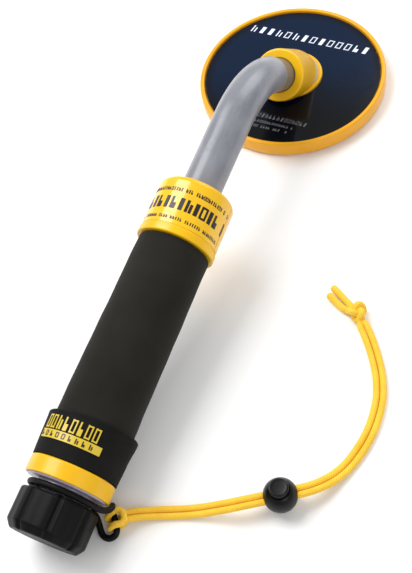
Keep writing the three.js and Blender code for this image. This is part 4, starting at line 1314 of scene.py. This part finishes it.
printPlan = {  # each line: where it starts, then length, height, width, stroke, count and gaps
    "collar": [  # start angle, distance behind
        ((165, 12.4), (80, 2.7, 1.35, 0.5, 46, 0.14)),
        ((176, 25.0), (88, 8.6, 4.6, 1.5, 17, 0.12)),
        ((160, 32.2), (76, 2.3, 1.2, 0.45, 46, 0.14)),
    ],
    "collarSeed": 11, "collarHeight": 0.22,
    "cuffRadius": 28.2,
    "cuffLine": ((129, 179.0), (39.0, 8.4, 3.5, 0.85, 8, 0.0), 17),
    "cuffBox": ((136.5, 184.9), (43.5, 5.2)),
    "cuffBoxMarks": ((133, 183.9), (40.0, 3.2, 2.3, 0.6, 9, 0.0), 9),
    "face": [  # left end, foot
        ((-47, 34.6), (98, 6.8, 4.6, 0.75, 14, 0.0), "whiteInk"),
        ((-24, -45.5), (54, 3.6, 2.2, 0.5, 18, 0.12), "dimInk"),
        ((-21, -50.6), (42, 2.3, 1.4, 0.4, 22, 0.12), "dimInk"),
        ((-20, -55.2), (38, 2.3, 1.4, 0.4, 20, 0.2), "dimInk"),
    ],
    "faceSeed": 34, "faceHeight": 0.02, "faceLean": 0.2,
}


def makeCollarPrint(plan):
    radius = frontPlan["radius"] + plan["collarHeight"]
    for i, (start, sizes) in enumerate(plan["collar"]):
        marks = flatMarks(f"collarPrint{i + 1}", sizes, plan["collarSeed"] + i, "blackInk")
        settle(bendMarks(marks, aroundHandle(radius, *start)), None, "housing", "black_plastic")


def makeCuffPrint(plan):
    radius = plan["cuffRadius"]
    start, sizes, seed = plan["cuffLine"]
    line = flatMarks("cuffPrintLine", sizes, seed, "yellowInk", 0.5)
    settle(bendMarks(line, aroundHandle(radius - 0.12, *start)), None, "housing", "yellow_label")
    start, (length, height) = plan["cuffBox"]
    mesh = bmesh.new()
    bmesh.ops.create_grid(mesh, x_segments=48, y_segments=4, size=0.5)
    made = bmesh.ops.extrude_face_region(mesh, geom=mesh.faces[:])
    for vert in made["geom"]:
        if isinstance(vert, bmesh.types.BMVert):
            vert.co.z = 1.0
    place = aroundHandle(radius - 0.45, *start)
    for vert in mesh.verts:
        x, y, z = vert.co
        vert.co = place((x + 0.5) * length * mm, (y + 0.5) * height * mm, (z - 0.5) * 0.5 * mm)
    settle(newPiece("cuffPrintBox", mesh), "yellowInk", "housing", "yellow_label")
    start, sizes, seed = plan["cuffBoxMarks"]
    marks = flatMarks("cuffBoxMarks", sizes, seed, "blackInk", 0.3)
    settle(bendMarks(marks, aroundHandle(radius - 0.2, *start)), None, "housing", "black_plastic")


def makeDiscPrint(plan):
    height = (discPlan["label"] + plan["faceHeight"]) * mm

    def flat(left, foot):
        def place(x, y, z):
            return Vector((left * mm + x + y * plan["faceLean"], foot * mm + y, height + z))
        return place
    for i, (start, sizes, look) in enumerate(plan["face"]):
        marks = flatMarks(f"facePrint{i + 1}", sizes, plan["faceSeed"] + i, look, 0.08)
        settle(bendMarks(marks, flat(*start)), None, "housing", "navy_label")


makeCollarPrint(printPlan)
makeCuffPrint(printPlan)
makeDiscPrint(printPlan)
print("print made")


# pieces kept as the frame gives them

kept = {
    "greyPipe": ["body_tube"],
    "batteryCase": ["battery_9v", "storage_capacitor"],
    "blackMoulding": ["battery_snap", "driver_chip", "coil_switch"],
    "whiteMoulding": ["battery_cradle", "sensitivity_trimmer", "motor_clamp", "coil_former"],
    "openFoam": ["foam_pad"],
    "brass": ["contact_plate"],
    "brightSteel": ["contact_spring", "vibration_motor", "motor_shaft", "eccentric_weight"],
    "castResin": ["front_bulkhead", "coil_potting"],
    "boardGreen": ["circuit_board"],
    "yellowMoulding": ["disc_cover"],
    "copper": ["coil_winding"],
    "softRubber": ["coil_cable"],
}
for look, painted in kept.items():
    for node in painted:
        nodes[node].data.materials.clear()
        nodes[node].data.materials.append(looks[look])
print("frame pieces painted")

bpy.context.view_layer.update()
